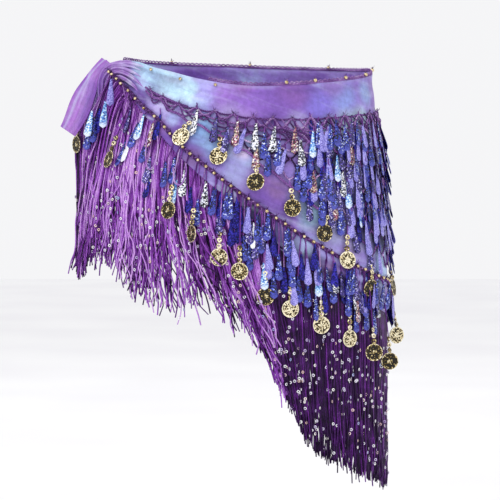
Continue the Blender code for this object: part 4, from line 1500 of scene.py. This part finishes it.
@dataclass
class Teardrops(Piece):
    """Long teardrop sequins that hang by their narrow ends."""

    placed: Rows
    by_tail: Rows
    length: float = 0.029
    half_width: float = 0.0044
    neck: float = 0.0009
    thickness: float = 0.00035
    dome: float = 0.0007
    rows: int = 13
    columns: int = 5
    out: float = 0.0046
    net_top: float = -0.082
    seed: int = 21

    def shape(self) -> Axes:
        """Makes the teardrop's outline.

        Returns:
            Points in right, up and outward from the tip, its faces and each point's share of the way down.
        """
        down = shares(self.rows)[:, None] ** 0.9
        wide = self.neck + (self.half_width - self.neck) * smooth_step(down, -0.15, 0.92)
        wide = wide * np.sqrt(np.clip(1 - ((down - 0.84) / 0.16).clip(0, 1) ** 2, 0.0025, 1))
        across = np.linspace(-1, 1, self.columns)
        bulge = self.dome * (1 - across**2) * (wide / self.half_width)
        front = np.stack(np.broadcast_arrays(across * wide, (1 - down) * self.length, bulge), -1)
        points = np.concatenate([front, front - [0, 0, self.thickness]]).reshape(-1, 3)
        return points, wall_faces(self.rows, self.columns), np.tile(np.repeat(down, self.columns), 2)

    def grid(self, side: Side, columns: int, count: int, start: float, reach: float, letters: str) -> Rows:
        """Lists the teardrops of a loose grid over the net near the point.

        Args:
            side: Front or back.
            columns: Columns of the grid.
            count: How many teardrops.
            start: First t.
            reach: How much further the last column lies.
            letters: The foils to choose from.

        Returns:
            Side, t, z, lean and foil of each.
        """
        drops = []
        for number in range(count):
            t = start + reach * (number % columns + self.rng.uniform(-0.25, 0.25)) / columns
            deep = self.net_top - float(side.line("bead", t)) - 0.012
            z = self.net_top - (number // columns) * deep / 8 + self.rng.normal(0, 0.003)
            drops.append((side, t, z, self.rng.normal(0, 4), letters[self.rng.integers(len(letters))]))
        return drops

    def scatter(self) -> Rows:
        """Lists every teardrop of the wrap: the placed ones, the ones between them and the back's.

        Returns:
            Side, t, z, lean and foil of each.
        """
        rng = self.rng
        drops = [(FRONT, *row) for row in self.placed]
        drops += self.grid(FRONT, 13, 104, 0.64, 0.35, "LLIVDDIDVLID")
        for side in Side:
            for _ in range(58 if side is FRONT else 34):
                t = rng.uniform(0.4, 1.0)
                z = float(side.line("bead", t)) - rng.uniform(0.03, 0.052)
                drops.append((side, t, z, rng.normal(0, 3), "IIDDDVVIDL"[rng.integers(10)]))
            for number in range(30):
                t = rng.uniform(0.93, 1.0)
                z = self.net_top - (number + rng.uniform(0, 1)) / 26 * 0.125
                drops.append((side, t, z, rng.normal(0, 4), "IILDVDLDDL"[rng.integers(10)]))
        drops += [(BACK, t + 0.004, z + 0.002, -lean, foil) for t, z, lean, foil in self.placed if t > 0.1]
        return drops + self.grid(BACK, 8, 64, 0.66, 0.33, "LLIVBDRS")

    def add(self, batch: MeshBatch, tip: Array, axes: Axes, lean: float, tilt: float) -> Array:
        """Adds one teardrop.

        Args:
            batch: The mesh that takes it.
            tip: Its lowest point.
            axes: The directions right, up and outward.
            lean: Degrees that its top leans to the right.
            tilt: Distance that its tip stands out further than its top.

        Returns:
            The point where it hangs.
        """
        right, up, face = axes
        points, faces, down = self.shape()
        up = unit(up - face * tilt / self.length)
        face = unit(np.cross(right, up))
        frame = spin(np.stack([right, up, face]), face, -radians(lean))
        frame = spin(frame, frame[1], radians(np.clip(self.rng.normal(0, 11), -24, 24)))
        batch.add(tip + points @ frame, [faces], drop=down, tone=self.rng.random())
        return tip + frame[1] * self.length * 0.97

    def build(self) -> Rows:
        """Makes and dresses the teardrops, one piece for each foil.

        Returns:
            For each one its side, its t and z, and the point where it hangs.
        """
        batches = {foil.value[0]: MeshBatch() for foil in Foil}
        hooks = []
        for side, t, z, lean, foil in self.scatter():
            cover = side.cover(t, z, 0.008) if z < float(side.line("hem", t)) + 0.004 else 0.0
            flare = float(smooth_step(t, 0.82, 0.97)) * self.rng.uniform(0.0, 0.0052)
            # The painted-shade teardrops, lettered D, sit a little further in.
            out = self.out + cover + self.rng.uniform(0.0, 0.0009) - 0.0012 * (foil == "D") + flare * 0.3
            _, axes = side.axes(t, z + self.length / 2, out)
            tip = side.at(t, z, out + 0.0012 + flare)
            hooks.append((side, t, z, self.add(batches[foil], tip, axes, lean, 0.0016 + cover + flare)))
        axes = (np.array([1.0, 0.0, 0.0]), UP, np.array([0.0, -1.0, 0.0]))
        for x, y, z, lean, foil in self.by_tail:
            hook = self.add(batches[foil], np.array([x, y, z]), axes, lean, 0.001)
            hooks.append((FRONT, 0.03, z, hook))
        for foil, batch in zip(Foil, batches.values()):
            batch.build(f"teardrops_{foil.name.lower()}", [self.looks.foils[foil]], "teardrop")
        return hooks


@dataclass
class DropCords(Piece):
    """Twisted cords that the lower teardrops hang by."""

    over_knot: Rows
    loops: Sequence[Rows]
    radius: float = 0.00085
    twist: float = 0.003
    seed: int = 8

    def top(self, side: Side, t: float, z: float, hook: Array) -> Array:
        """Finds where a teardrop's cord starts: over the knot, just above it in the net, or at the braid.

        Args:
            side: Front or back.
            t: The teardrop's place.
            z: Its height.
            hook: The point where it hangs.

        Returns:
            The cord's first point.
        """
        bead = float(side.line("bead", t))
        if side is FRONT and t < 0.17 and z < bead:
            share = np.clip((hook[0] + 0.176) / 0.052 + self.rng.normal(0, 0.05), 0, 1)
            return rounded(self.over_knot, 41)[int(share * 40)] - 0.001 * UP
        if z + 0.028 > bead + 0.004:
            return hook + 0.006 * UP + self.rng.normal(0, 0.0006, 3)
        return side.at(t + self.rng.normal(0, 0.004), bead - 0.0005, 0.003)

    def build(self, hooks: Rows) -> None:
        """Makes and dresses the cords.

        Args:
            hooks: Where the teardrops hang, with their side and place.
        """
        batch, facing, paths = self.batch, np.array([0.1, -1.0, 0.05]), []
        share = shares(12)[:, None]
        for side, t, z, hook in hooks:
            top = self.top(side, t, z, hook)
            paths.append(top + (hook - top) * share + np.sin(pi * share) * self.rng.normal(0, 0.0007, 3))
        for path in paths:
            batch.yarn(path, facing, self.radius, self.twist, sides=3, tone=self.rng.uniform(0.3, 0.8))
        for loop in self.loops:
            places = [FRONT.at(t, z, 0.0075 + FRONT.cover(t, z)) for t, z in loop]
            batch.yarn(rounded(places, 60), facing, self.radius, self.twist, tone=0.85)
        batch.build("drop_cords", [self.looks.cord], "thread")


@dataclass
class Coins(Piece):
    """Stamped coins on threads with small ring beads above them."""

    placed: dict[tuple[str, Side], Rows]
    radius: float = 0.0093
    thickness: float = 0.001
    segments: int = 60
    profile: int = 12
    dots: int = 20
    petals: int = 8
    ring_radius: float = 0.00185
    ring_thickness: float = 0.0013
    ring_step: float = 0.0062
    thread_radius: float = 0.0007
    twist: float = 0.0028
    seed: int = 31

    def __post_init__(self) -> None:
        """Starts the mesh of the metal and the lists of threads and CAD nodes."""
        super().__post_init__()
        self.threads, self.nodes = [], []

    def relief(self, share: Array, turn: Array) -> Array:
        """Finds the height of the stamping, from 0 to 1: a rim, a circle of dots, a ring and a rosette.

        Args:
            share: Distance from the centre as a share of the radius.
            turn: Angle round the coin.

        Returns:
            The height at each place.
        """
        dots, petals = (np.cos(count * turn) for count in (self.dots, self.petals))
        vein = 1 - 0.75 * hump(share - 0.3, 0.1) * np.clip(petals, 0, 1)
        leaf = smooth_step(0.34 + 0.18 * petals - share, 0.0, 0.06) * vein
        dot = hump(share - 0.78, 0.055) * np.clip(dots, 0, 1)
        rim = smooth_step(share, 0.88, 0.93)
        rings = rim + 0.85 * dot + 0.7 * hump(share - 0.63, 0.028)
        return np.clip(rings + 0.8 * leaf + hump(share, 0.13), 0, 1)

    def disc(self, centre: Array, axes: Axes, turn: float, tone: float) -> None:
        """Adds one coin's metal.

        Args:
            centre: Its centre.
            axes: The directions right, up and outward.
            turn: Degrees that it is turned about its thread.
            tone: Its wear; on the palest coins also a painted reflection.
        """
        right, up, face = axes
        cosine, sine = cos(radians(turn)), sin(radians(turn))
        wide, thick = right * cosine + face * sine, face * cosine - right * sine
        share = np.concatenate([np.linspace(0.04, 0.9, self.profile - 3), [0.93, 0.965, 1.0]])[:, None]
        around = TURN * np.arange(self.segments) / self.segments
        raised = self.relief(share, around + self.rng.uniform(0, 6.28))
        height = self.thickness * (0.3 + 0.22 * raised)
        height[-1] = self.thickness * 0.36
        circle = wide * np.cos(around)[:, None] + up * np.sin(around)[:, None]
        flat = share[..., None] * circle * self.radius
        rise = thick * height[..., None]
        points = np.concatenate([centre + flat + rise, (centre + flat - rise)[::-1]])
        values = {"raise": np.concatenate([raised, raised[::-1]]), "tone": tone}
        self.batch.add(points, closed_faces(2 * self.profile, self.segments), **values)

    def hang(self, node: str, hook: Array, centre: Array, axes: Axes, turn: float, tone: float) -> None:
        """Adds one coin with its rings and notes its thread.

        Args:
            node: The CAD node that it stands for.
            hook: Where the thread starts.
            centre: The coin's centre.
            axes: The directions right, up and outward.
            turn: Degrees that the coin is turned.
            tone: Its wear; on the palest coins also a painted reflection.
        """
        self.disc(centre, axes, turn, tone)
        _, up, face = axes
        top = centre + up * self.radius
        length, heading = float(np.linalg.norm(hook - top)), unit(hook - top)
        points, faces = ring(self.ring_radius, self.ring_thickness)
        frame = np.stack([np.cross(face, heading), heading, face])
        for number in range(3 if length > 0.022 else 2):
            place = 0.0026 + number * self.ring_step
            if place > length:
                break
            sway = spin(frame, heading, self.rng.normal(0, 0.35))
            values = {"raise": 0.75, "tone": self.rng.random()}
            self.batch.add(top + heading * place + points @ sway, faces, **values)
        share = shares(14)[:, None]
        self.threads.append(hook + (top - up * 0.0008 - hook) * share + face * 0.0002)
        self.nodes.append(node)

    def build(self, lows: Rows, tail_end: Array) -> None:
        """Makes and dresses every coin.

        Args:
            lows: The net's stitches.
            tail_end: The points across the short tail's end.
        """
        for (row, side), places in self.placed.items():
            for number, (t, z, turn, tone) in enumerate(places, 1):
                if row == "net":
                    near = [(low, at) for this, at, low in lows
                            if this is side and abs(at - t) < 0.03 and low > z + self.radius + 0.004]
                    (low, at), out = min(near, default=(z + 0.024, t)), 0.0059
                else:
                    low, at, out = float(side.line("bead", t)) - 0.0005, t, 0.0044 + side.cover(t, z)
                centre, axes = side.axes(t, z, out + self.radius * abs(sin(radians(turn))))
                hook = side.at(at, low, 0.0036)
                self.hang(f"{row}_coin_{side.label}_{number}", hook, centre, axes, turn, tone)
        right = unit((tail_end[0] - tail_end[-1]) * (1.0, 1.0, 0.0))
        face = unit(np.cross(right, UP))
        hook = tail_end[-9] + face * 0.0022
        self.hang("tail_coin", hook, hook + face * 0.009 - UP * 0.0262, (right, UP, face), 48, 0.1)
        self.batch.build("stamped_coins", [self.looks.coin], "coin_metal", self.nodes)
        batch, facing = MeshBatch(), np.array([0.1, -1.0, 0.1])
        for path in self.threads:
            batch.yarn(path, facing, self.thread_radius, self.twist, tone=self.rng.random())
        batch.build("coin_threads", [self.looks.cord], "thread")


# ---- fringe


class Stretch(Enum):
    """The stretches of a half's fringe: first and last root, size, tone, the tone's spread and its fade,
    which paint light and shade.
    """

    # The tone is painted light and shade: lighter on the knot's stretch and darker on the point's.
    KNOT = (0.004, 0.5, 1.06, 0.56, 0.98, 0.14)
    POINT = (0.5, 0.9985, 1.0, 0.12, 0.32, 0.0)


@dataclass
class Fringe(Piece):
    """Long twisted thread fringe under the hem, with small silver sequins along it."""

    counts: dict[tuple[Side, Stretch], int]
    over_knot: Rows
    tail_count: int = 90
    knot_count: int = 60
    radius: float = 0.00095
    tip_radius: float = 0.00062
    levels: int = 16
    sides: int = 4
    ragged: float = 0.011
    clump: float = 0.021
    sequins: int = 1100
    seed: int = 41

    def wander(self, count: int, share: Array, reach: float) -> Array:
        """Makes small sideways waves of strands.

        Args:
            count: How many strands.
            share: Share of each strand's length.
            reach: Size of the waves at the tip.

        Returns:
            The shift of every point, as (strands, points).
        """
        waves = np.zeros((count, len(share)))
        for cycle in (1.1, 2.3, 4.7):
            phase = self.rng.uniform(0, TURN, (count, 1))
            waves += np.sin(TURN * cycle * share + phase) * self.rng.normal(0, 1, (count, 1)) / cycle
        return waves * reach * share**1.2

    def strands(self, side: Side, start: float, end: float, count: int) -> Pair:
        """Lays out the strands of one stretch of the hem.

        Args:
            side: Front or back.
            start: First root.
            end: Last root.
            count: How many strands.

        Returns:
            The paths, as (strands, points, 3), and how near the outside each one lies, from 0 to 1.
        """
        rng, each = self.rng, (count, 1)
        crowd = 1.15 if start < 0.1 else 1.0
        roots = start + (end - start) * ((np.arange(count) + rng.uniform(0.1, 0.9, count)) / count) ** crowd
        share = shares(self.levels) ** 0.9
        t, z, out = side.strand(roots[:, None], share)
        loose = 1 - smooth_step(roots, 0.3, 0.6)[:, None]
        clump = np.floor(roots / self.clump + rng.normal(0, 0.22, count))
        middle = (clump + 0.5 + 0.3 * np.sin(7.3 * clump)) * self.clump
        drawn, _, _ = side.strand(np.clip(middle, 0, 1)[:, None], share)
        t = t + (drawn - t) * 0.8 * loose * share**1.1
        t = t + self.wander(count, share, 1.0) * (0.0022 + 0.004 * loose) / side.length
        curl = np.where(rng.random(each) < 0.16, rng.normal(0, 0.016, each), 0.0) * loose
        t = t + curl * smooth_step(share, 0.55, 1.05) * (1.6 - share) / side.length
        length = rng.normal(0, 1, each) * self.ragged * (0.35 + 0.65 * loose)
        short = 0.008 + 0.013 * (1 - smooth_step(roots, 0.1, 0.24)) + 0.007 * np.sin(5.1 * clump)
        length = length + short[:, None] * loose + np.abs(curl) * 0.8
        length = length + np.where(rng.random(each) < 0.08, -0.012 * rng.random(each), 0)
        z = z + (length - 0.002) * share
        top = np.where(share < 0.02, 1.0, 0.0)
        z = z + (side.line("hem", roots)[:, None] + 0.003 - z) * top
        layer = rng.random(each)
        depth = (-0.0006 + layer * (0.0022 + 0.0012 * loose)) * smooth_step(share, 0.02, 0.25)
        out = np.maximum(out + depth + self.wander(count, share, 0.0014), 0.0002) + top * 0.0008
        return side.at(t, z, out), layer[:, 0]

    def hanging(self, first: Array, tip: Array, bend: float, inward: float, sway: float) -> Array:
        """Lays out loose strands between two rows of points.

        Args:
            first: Their first points.
            tip: Their tips.
            bend: Power of the way sideways; under 1 they spread early.
            inward: The same for the way from front to back.
            sway: Size of their waves.

        Returns:
            The paths, as (strands, points, 3).
        """
        share = shares(self.levels)
        paths = first[:, None] + (tip - first)[:, None] * share[:, None] ** np.array([bend, inward, 1.0])
        paths[..., 0] += self.wander(len(first), share, sway)
        paths[..., 1] += self.wander(len(first), share, 0.002)
        return paths

    def knot_strands(self) -> Array:
        """Lays out the strands that hang from the knot, between the tail's fringe and the wrap's.

        Returns:
            The paths.
        """
        count, rng = self.knot_count, self.rng
        place = rng.uniform(0, 1, count)
        first = rounded(self.over_knot, 41)[(place * 40).astype(int)] + [0.001, 0.004, -0.004]
        angle = -86.0 + 26.0 * place + rng.normal(0, 1.5, count)
        low = -0.212 + 0.014 * place + rng.normal(0, 0.008, count)
        tip = form_point(angle, low, 0.0055 + rng.uniform(-0.003, 0.004, count))
        return self.hanging(first, tip, 0.55, 0.5, 0.0045)

    def tail_strands(self, end: Array) -> Array:
        """Lays out the strands under the short tail.

        Args:
            end: The points across its end.

        Returns:
            The paths.
        """
        count, rng = self.tail_count, self.rng
        roots = 0.04 + 0.93 * (np.arange(count) + rng.uniform(0.1, 0.9, count)) / count
        first = resampled(end, shares(len(end)), roots) - 0.0035 * UP
        angle = -72.0 - 13.0 * roots + rng.normal(0, 0.8, count)
        low = -0.2 - 0.016 * roots + rng.normal(0, 0.007, count)
        tip = form_point(angle, low, 0.0004 + rng.uniform(-0.004, 0.003, count))
        paths = self.hanging(first, tip, 0.45, 0.45, 0.0028)
        paths[:, 0, 2] += 0.0045
        return paths

    def washers(self, paths: Array, count: int) -> None:
        """Adds small ring sequins along strands.

        Args:
            paths: The strands.
            count: How many.
        """
        points, faces = ring(0.00118, 0.00066, 8, 3)
        points = points * [1, 1, 0.4]
        for _ in range(self.sequins * count // (sum(self.counts.values()) + self.tail_count)):
            path = paths[self.rng.integers(len(paths))]
            at = self.rng.uniform(0.08, 0.97) * (len(path) - 1)
            low = int(at)
            centre = path[low] + (path[low + 1] - path[low]) * (at - low)
            face = unit(np.array([(centre[0] + 0.018) / 0.167, centre[1] / 0.115, 0.0]))
            frame = spin(np.stack([np.cross(UP, face), UP, face]), UP, self.rng.normal(0, 0.6))
            self.batch.add(centre + face * 0.0019 + points @ frame, faces, tone=self.rng.random())

    def piece(self, part: str, paths: Array, radii: Array, tones: Array) -> None:
        """Makes and dresses the strands of one CAD node.

        Args:
            part: The end of its name.
            paths: The strands.
            radii: Their radii.
            tones: Their tones.
        """
        batch = MeshBatch()
        batch.tubes(paths, radii, np.array([0.2, -1.0, 0.1]), self.sides, tones)
        batch.build(f"thread_fringe_{part}", [self.looks.fringe], "fringe", (f"fringe_{part}",))

    def build(self, tail_end: Array) -> None:
        """Makes and dresses the fringe and its sequins.

        Args:
            tail_end: The points across the short tail's end.
        """
        rng, radii = self.rng, np.linspace(self.radius, self.tip_radius, self.levels)
        for (side, stretch), count in self.counts.items():
            start, end, size, painted_light_tone, spread, fade = stretch.value
            paths, layer = self.strands(side, start, end, count)
            wide = radii * size * rng.uniform(0.8, 1.2, (count, 1))
            # Painted shade: the knot's stretch darkens towards its end under the teardrops, and strands
            # further in are darker; the rest is random tone.
            painted_light_tone = painted_light_tone - fade * smooth_step(shares(count), 0.45, 1.0)
            tones = np.clip(painted_light_tone + spread * (layer - 0.5) + rng.normal(0, 0.12, count), -0.1, 1)
            self.piece(f"{side.label}_{stretch.name.lower()}", paths, wide, tones)
            self.washers(paths, count)
        paths = np.concatenate([self.tail_strands(tail_end), self.knot_strands()])
        self.piece("tail", paths, radii, np.clip(rng.normal(0.46, 0.3, len(paths)), 0, 1))
        self.washers(paths, self.tail_count)
        self.batch.build("fringe_sequins", [self.looks.silver], "sequin")


# ---- tables of what is sewn on

# t, height, degrees turned about the thread, and wear in hundredths; high wear also paints a pale reflection.
COINS = {
    place: rows(text, *COIN_UNITS)
    for place, text in (
        (("net", FRONT),
         "302 -680 0 95, 406 -880 0 70, 501 -1150 8 20, 592 -1425 0 35, 671 -1695 0 15, 729 -1985 10 95, "
         "801 -2298 2 10, 936 -2335 12 20"),
        (("net", BACK),
         "406 -880 0 60, 540 -1280 0 20, 671 -1695 8 80, 800 -2280 0 40, 930 -2430 10 70"),
        (("hem", FRONT),
         "110 -920 12 35, 304 -1446 20 25, 363 -1687 50 50, 423 -1937 0 75, 469 -2084 14 65, 527 -2353 0 20, "
         "585 -2488 0 100, 659 -2667 10 90, 738 -2828 0 85, 800 -2990 52 20, 864 -3110 62 30, "
         "950 -2865 62 80"),
        (("hem", BACK),
         "110 -920 12 50, 270 -1330 0 20, 400 -1860 8 90, 510 -2290 0 30, 610 -2560 10 80, 710 -2760 0 60, "
         "805 -2990 12 20, 895 -3060 40 30"),
    )
}
# t, height, degrees of lean and foil; for those by the tail x, y and height stand first.
TEARDROPS = rows(
    "133 -641 -12 V, 141 -991 0 I, 154 -948 2 W, 178 -715 -3 B, 217 -799 -4 R, 211 -957 -2 I, "
    "235 -1172 -3 V, 239 -1330 1 D, 168 -800 -4 I, 300 -1175 -3 I, 307 -1406 4 B, 331 -1311 -2 S, "
    "385 -1424 -1 S, 329 -668 0 S, 402 -1508 6 I, 422 -1706 -1 V, 231 -715 -5 D, 282 -1218 -6 I, "
    "349 -1488 0 D, 369 -1613 0 I, 386 -746 -1 V, 418 -850 0 V, 442 -787 -1 R, 448 -860 13 L, 492 -823 -2 S, "
    "498 -1038 0 R, 517 -916 -3 I, 529 -1101 0 I, 535 -850 3 S, 550 -996 3 I, 554 -1076 15 L, 593 -861 0 R, "
    "613 -997 -4 S, 617 -1144 0 L, 602 -1249 0 I, 618 -1372 3 I, 644 -1279 -3 R, 641 -904 1 B, "
    "658 -809 -2 I, 660 -1009 1 L, 672 -844 11 L, 737 -838 0 I, 754 -988 1 R, 711 -784 0 I, 687 -1267 0 I, "
    "710 -1159 1 B, 675 -1375 -3 V, 666 -1536 0 I, 697 -1454 0 I, 698 -1570 1 R, 726 -1325 0 S, "
    "740 -1447 0 B, 714 -1730 1 I, 767 -1164 0 L, 745 -1298 3 V, 748 -1639 0 L, 763 -1928 -7 V, "
    "779 -1464 0 I, 778 -1653 1 B, 802 -1957 -5 L, 805 -812 -1 L, 801 -988 0 L, 816 -1167 0 D, "
    "835 -1465 -5 L, 835 -1651 -4 L, 831 -1833 0 L, 775 -854 -2 D, 780 -1205 0 V, 872 -1657 1 L, "
    "404 -1497 0 I, 436 -1549 0 I, 450 -1831 0 D, 466 -1800 -2 D, 479 -1988 0 I, 503 -1863 0 W, "
    "504 -1968 2 V, 492 -2083 0 I, 538 -2085 -5 L, 525 -2284 0 B, 534 -2179 0 L, 547 -2379 -1 I, "
    "519 -1906 0 I, 559 -2191 0 I, 600 -2046 -8 L, 590 -2267 0 I, 594 -2457 -2 L, 607 -2426 -2 I, "
    "615 -2195 0 D, 653 -2252 -1 L, 654 -2369 0 B, 647 -2622 0 I, 699 -2344 0 S, 692 -2449 0 I, "
    "717 -2389 2 V, 775 -2573 -2 V, 754 -2536 0 S, 762 -2666 0 R, 757 -2772 -2 I, 788 -2759 2 I, "
    "836 -2644 -2 S, 847 -2171 -3 L, 802 -2322 0 I, 809 -2130 0 V, 572 -2328 0 D, 626 -2482 0 I, "
    "671 -2551 0 D, 733 -2595 0 I, 819 -2823 0 I", MILLI, TENTH, 1
)
TAIL_DROPS = rows(
    "-1758 -470 -683 12 B, -1581 -520 -587 6 B, -1697 -440 -748 4 I, -1770 -410 -824 11 I, "
    "-1504 -500 -351 3 L, -1660 -420 -651 8 D", TENTH, TENTH, TENTH, 1
)
OVER_KNOT = rows(
    "-1524 -400 26, -1496 -425 4, -1457 -440 -34, -1414 -455 -76, -1371 -470 -123, "
    "-1300 -483 -187", *POINT_UNITS
)
# Radius, painted highlight (paleness) and the points of each rolled fold.
KNOT_ROLLS = (
    (0.0026, 0.6, "-1112 -565 59, -1203 -450 89, -1293 -380 113, -1385 -330 118, -1462 -310 106, "
     "-1530 -295 90, -1570 -280 68"),
    (0.0025, 0.4, "-1157 -520 23, -1260 -405 69, -1361 -355 88, -1439 -345 95, -1507 -340 80, -1569 -335 38, "
     "-1605 -328 -27, -1629 -315 -102, -1632 -290 -199, -1628 -265 -290"),
    (0.0024, 0.25, "-1132 -592 -65, -1235 -462 3, -1326 -395 38, -1418 -380 57, -1483 -375 46, "
     "-1543 -365 -2, -1585 -350 -66, -1595 -330 -145, -1600 -300 -242"),
    (0.0024, 0.1, "-1108 -650 -183, -1199 -540 -95, -1292 -440 -28, -1396 -408 14, -1461 -398 8, "
     "-1510 -385 -30, -1545 -365 -90, -1560 -340 -170"),
    (0.0024, 0.0, "-1152 -628 -246, -1223 -508 -158, -1314 -445 -81, -1394 -418 -40, -1450 -402 -42, "
     "-1495 -382 -90, -1520 -355 -160"),
)
CORD_LOOPS = (
    rows("212 -694, 222 -880, 238 -1020, 252 -960, 250 -800, 240 -673", MILLI, TENTH),
    rows("300 -1000, 310 -1150, 326 -1180, 334 -1060, 330 -960", MILLI, TENTH),
)
CREASES = {
    side: [Crease(*row) for row in rows(text, *CREASE_UNITS)]
    for side, text in (
        (FRONT,
         "30 60 215 -80 20 30 40, 30 0 235 -330 17 30 -30, 30 -40 160 -300 16 20 10, 30 105 330 0 14 24 20, "
         "160 -40 420 -350 9 40 30, 300 -200 640 -330 7 45 30, 980 -80 700 -240 7 50 30, "
         "999 -2420 540 -1800 26 30 20, 999 -2530 580 -2020 30 26 -20, 999 -2640 640 -2230 24 24 10, "
         "700 -2150 430 -1400 24 26 20"),
        (BACK,
         "30 40 240 -100 22 30 30, 30 -20 260 -340 22 28 -30, 30 100 330 40 12 26 20, "
         "999 -2460 580 -1900 14 34 20, 999 -2580 640 -2200 14 30 -20"),
    )
}


@dataclass
class Stage(Piece):
    """Pale floor, soft light and the camera."""

    target: tuple[float, float, float] = (0.0, 0.0, -0.1925)
    distance: float = 2.4
    elevation: float = 3.0
    lens: float = 157.1
    sensor: float = 36.0
    floor_z: float = -0.62
    reach: float = 6.0
    sky: Colour = (0.985, 0.985, 1.0, 1.0)
    sky_strength: float = 0.93
    key_energy: float = 20.0
    fill_energy: float = 7.0

    def stand(self, name: str, data: Any, place: Sequence[float]) -> bpy.types.Object:
        """Adds a stage item that looks at the scarf.

        Args:
            name: Its name.
            data: Its light or camera.
            place: Where it stands.

        Returns:
            The object.
        """
        made = bpy.data.objects.new(name, data)
        bpy.context.scene.collection.objects.link(made)
        made.location = place
        made.rotation_euler = (Vector(self.target) - Vector(place)).to_track_quat("-Z", "Y").to_euler()
        return made

    def build(self) -> None:
        """Makes the floor, the lights, the world and the camera."""
        scene = bpy.context.scene
        mesh = bpy.data.meshes.new("floor")
        signs = ((-1, -1), (1, -1), (1, 1), (-1, 1))
        corners = [(x * self.reach, y * self.reach, self.floor_z) for x, y in signs]
        mesh.from_pydata(corners, [], [(0, 1, 2, 3)])
        mesh.materials.append(self.looks.floor)
        ground = bpy.data.objects.new("floor", mesh)
        scene.collection.objects.link(ground)
        world = bpy.data.worlds.new("studio")
        world.use_nodes = True
        inputs = world.node_tree.nodes["Background"].inputs
        inputs["Color"].default_value, inputs["Strength"].default_value = self.sky, self.sky_strength
        scene.world = world
        for name, place, size, energy in (("key_light", (-0.9, -2.0, 1.5), 1.2, self.key_energy),
                                          ("fill_light", (1.7, -1.7, 0.5), 1.8, self.fill_energy),
                                          ("back_light", (0.2, 2.2, 1.4), 1.6, self.fill_energy)):
            light = bpy.data.lights.new(name, "AREA")
            light.size, light.energy = size, energy
            self.stand(name, light, place)
        camera = bpy.data.cameras.new("camera")
        camera.lens, camera.sensor_width = self.lens, self.sensor
        rise = radians(self.elevation)
        away = Vector((0.0, -cos(rise), sin(rise))) * self.distance
        scene.camera = self.stand("camera", camera, Vector(self.target) + away)
        scene.view_settings.view_transform = "Standard"


def main() -> None:
    """Builds the scarf over the frame, piece by piece."""
    logging.basicConfig(level=logging.INFO, format="%(message)s")
    looks = Finishes()
    Wrap(looks, CREASES, {FRONT: 190, BACK: 130}).build()
    Knot(looks, KNOT_ROLLS).build()
    Tail(looks, "long_tail", "tail_long", -0.02, -0.03, (0.0, 0.0), 1.0, (0.03, 0.085)).build()
    end = Tail(looks, "short_tail", "tail_short", -0.0145, -0.004, (0.011, 0.004), 0.78, (0.03, 0.066),
               0.003, 1.7, -1.0).build()
    low_beads = rows("1500 35, 2565 -70, 3640 -135", TENTH, TENTH)
    WaistEdging(looks, FRONT, 0.34, numbers("564 650 754 850 960", MILLI), low_beads, 3).build()
    WaistEdging(looks, BACK, 0.05, numbers("300 550 800", MILLI), (), 4).build()
    BeadBraid(looks, OVER_KNOT).build()
    lows = Net(looks).build()
    hooks = Teardrops(looks, TEARDROPS, TAIL_DROPS).build()
    DropCords(looks, OVER_KNOT, CORD_LOOPS).build(hooks)
    Coins(looks, COINS).build(lows, end)
    counts = {(FRONT, Stretch.KNOT): 430, (FRONT, Stretch.POINT): 440,
              (BACK, Stretch.KNOT): 190, (BACK, Stretch.POINT): 270}
    Fringe(looks, counts, OVER_KNOT).build(end)
    Stage(looks).build()
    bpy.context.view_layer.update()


if __name__ == "__main__":
    main()
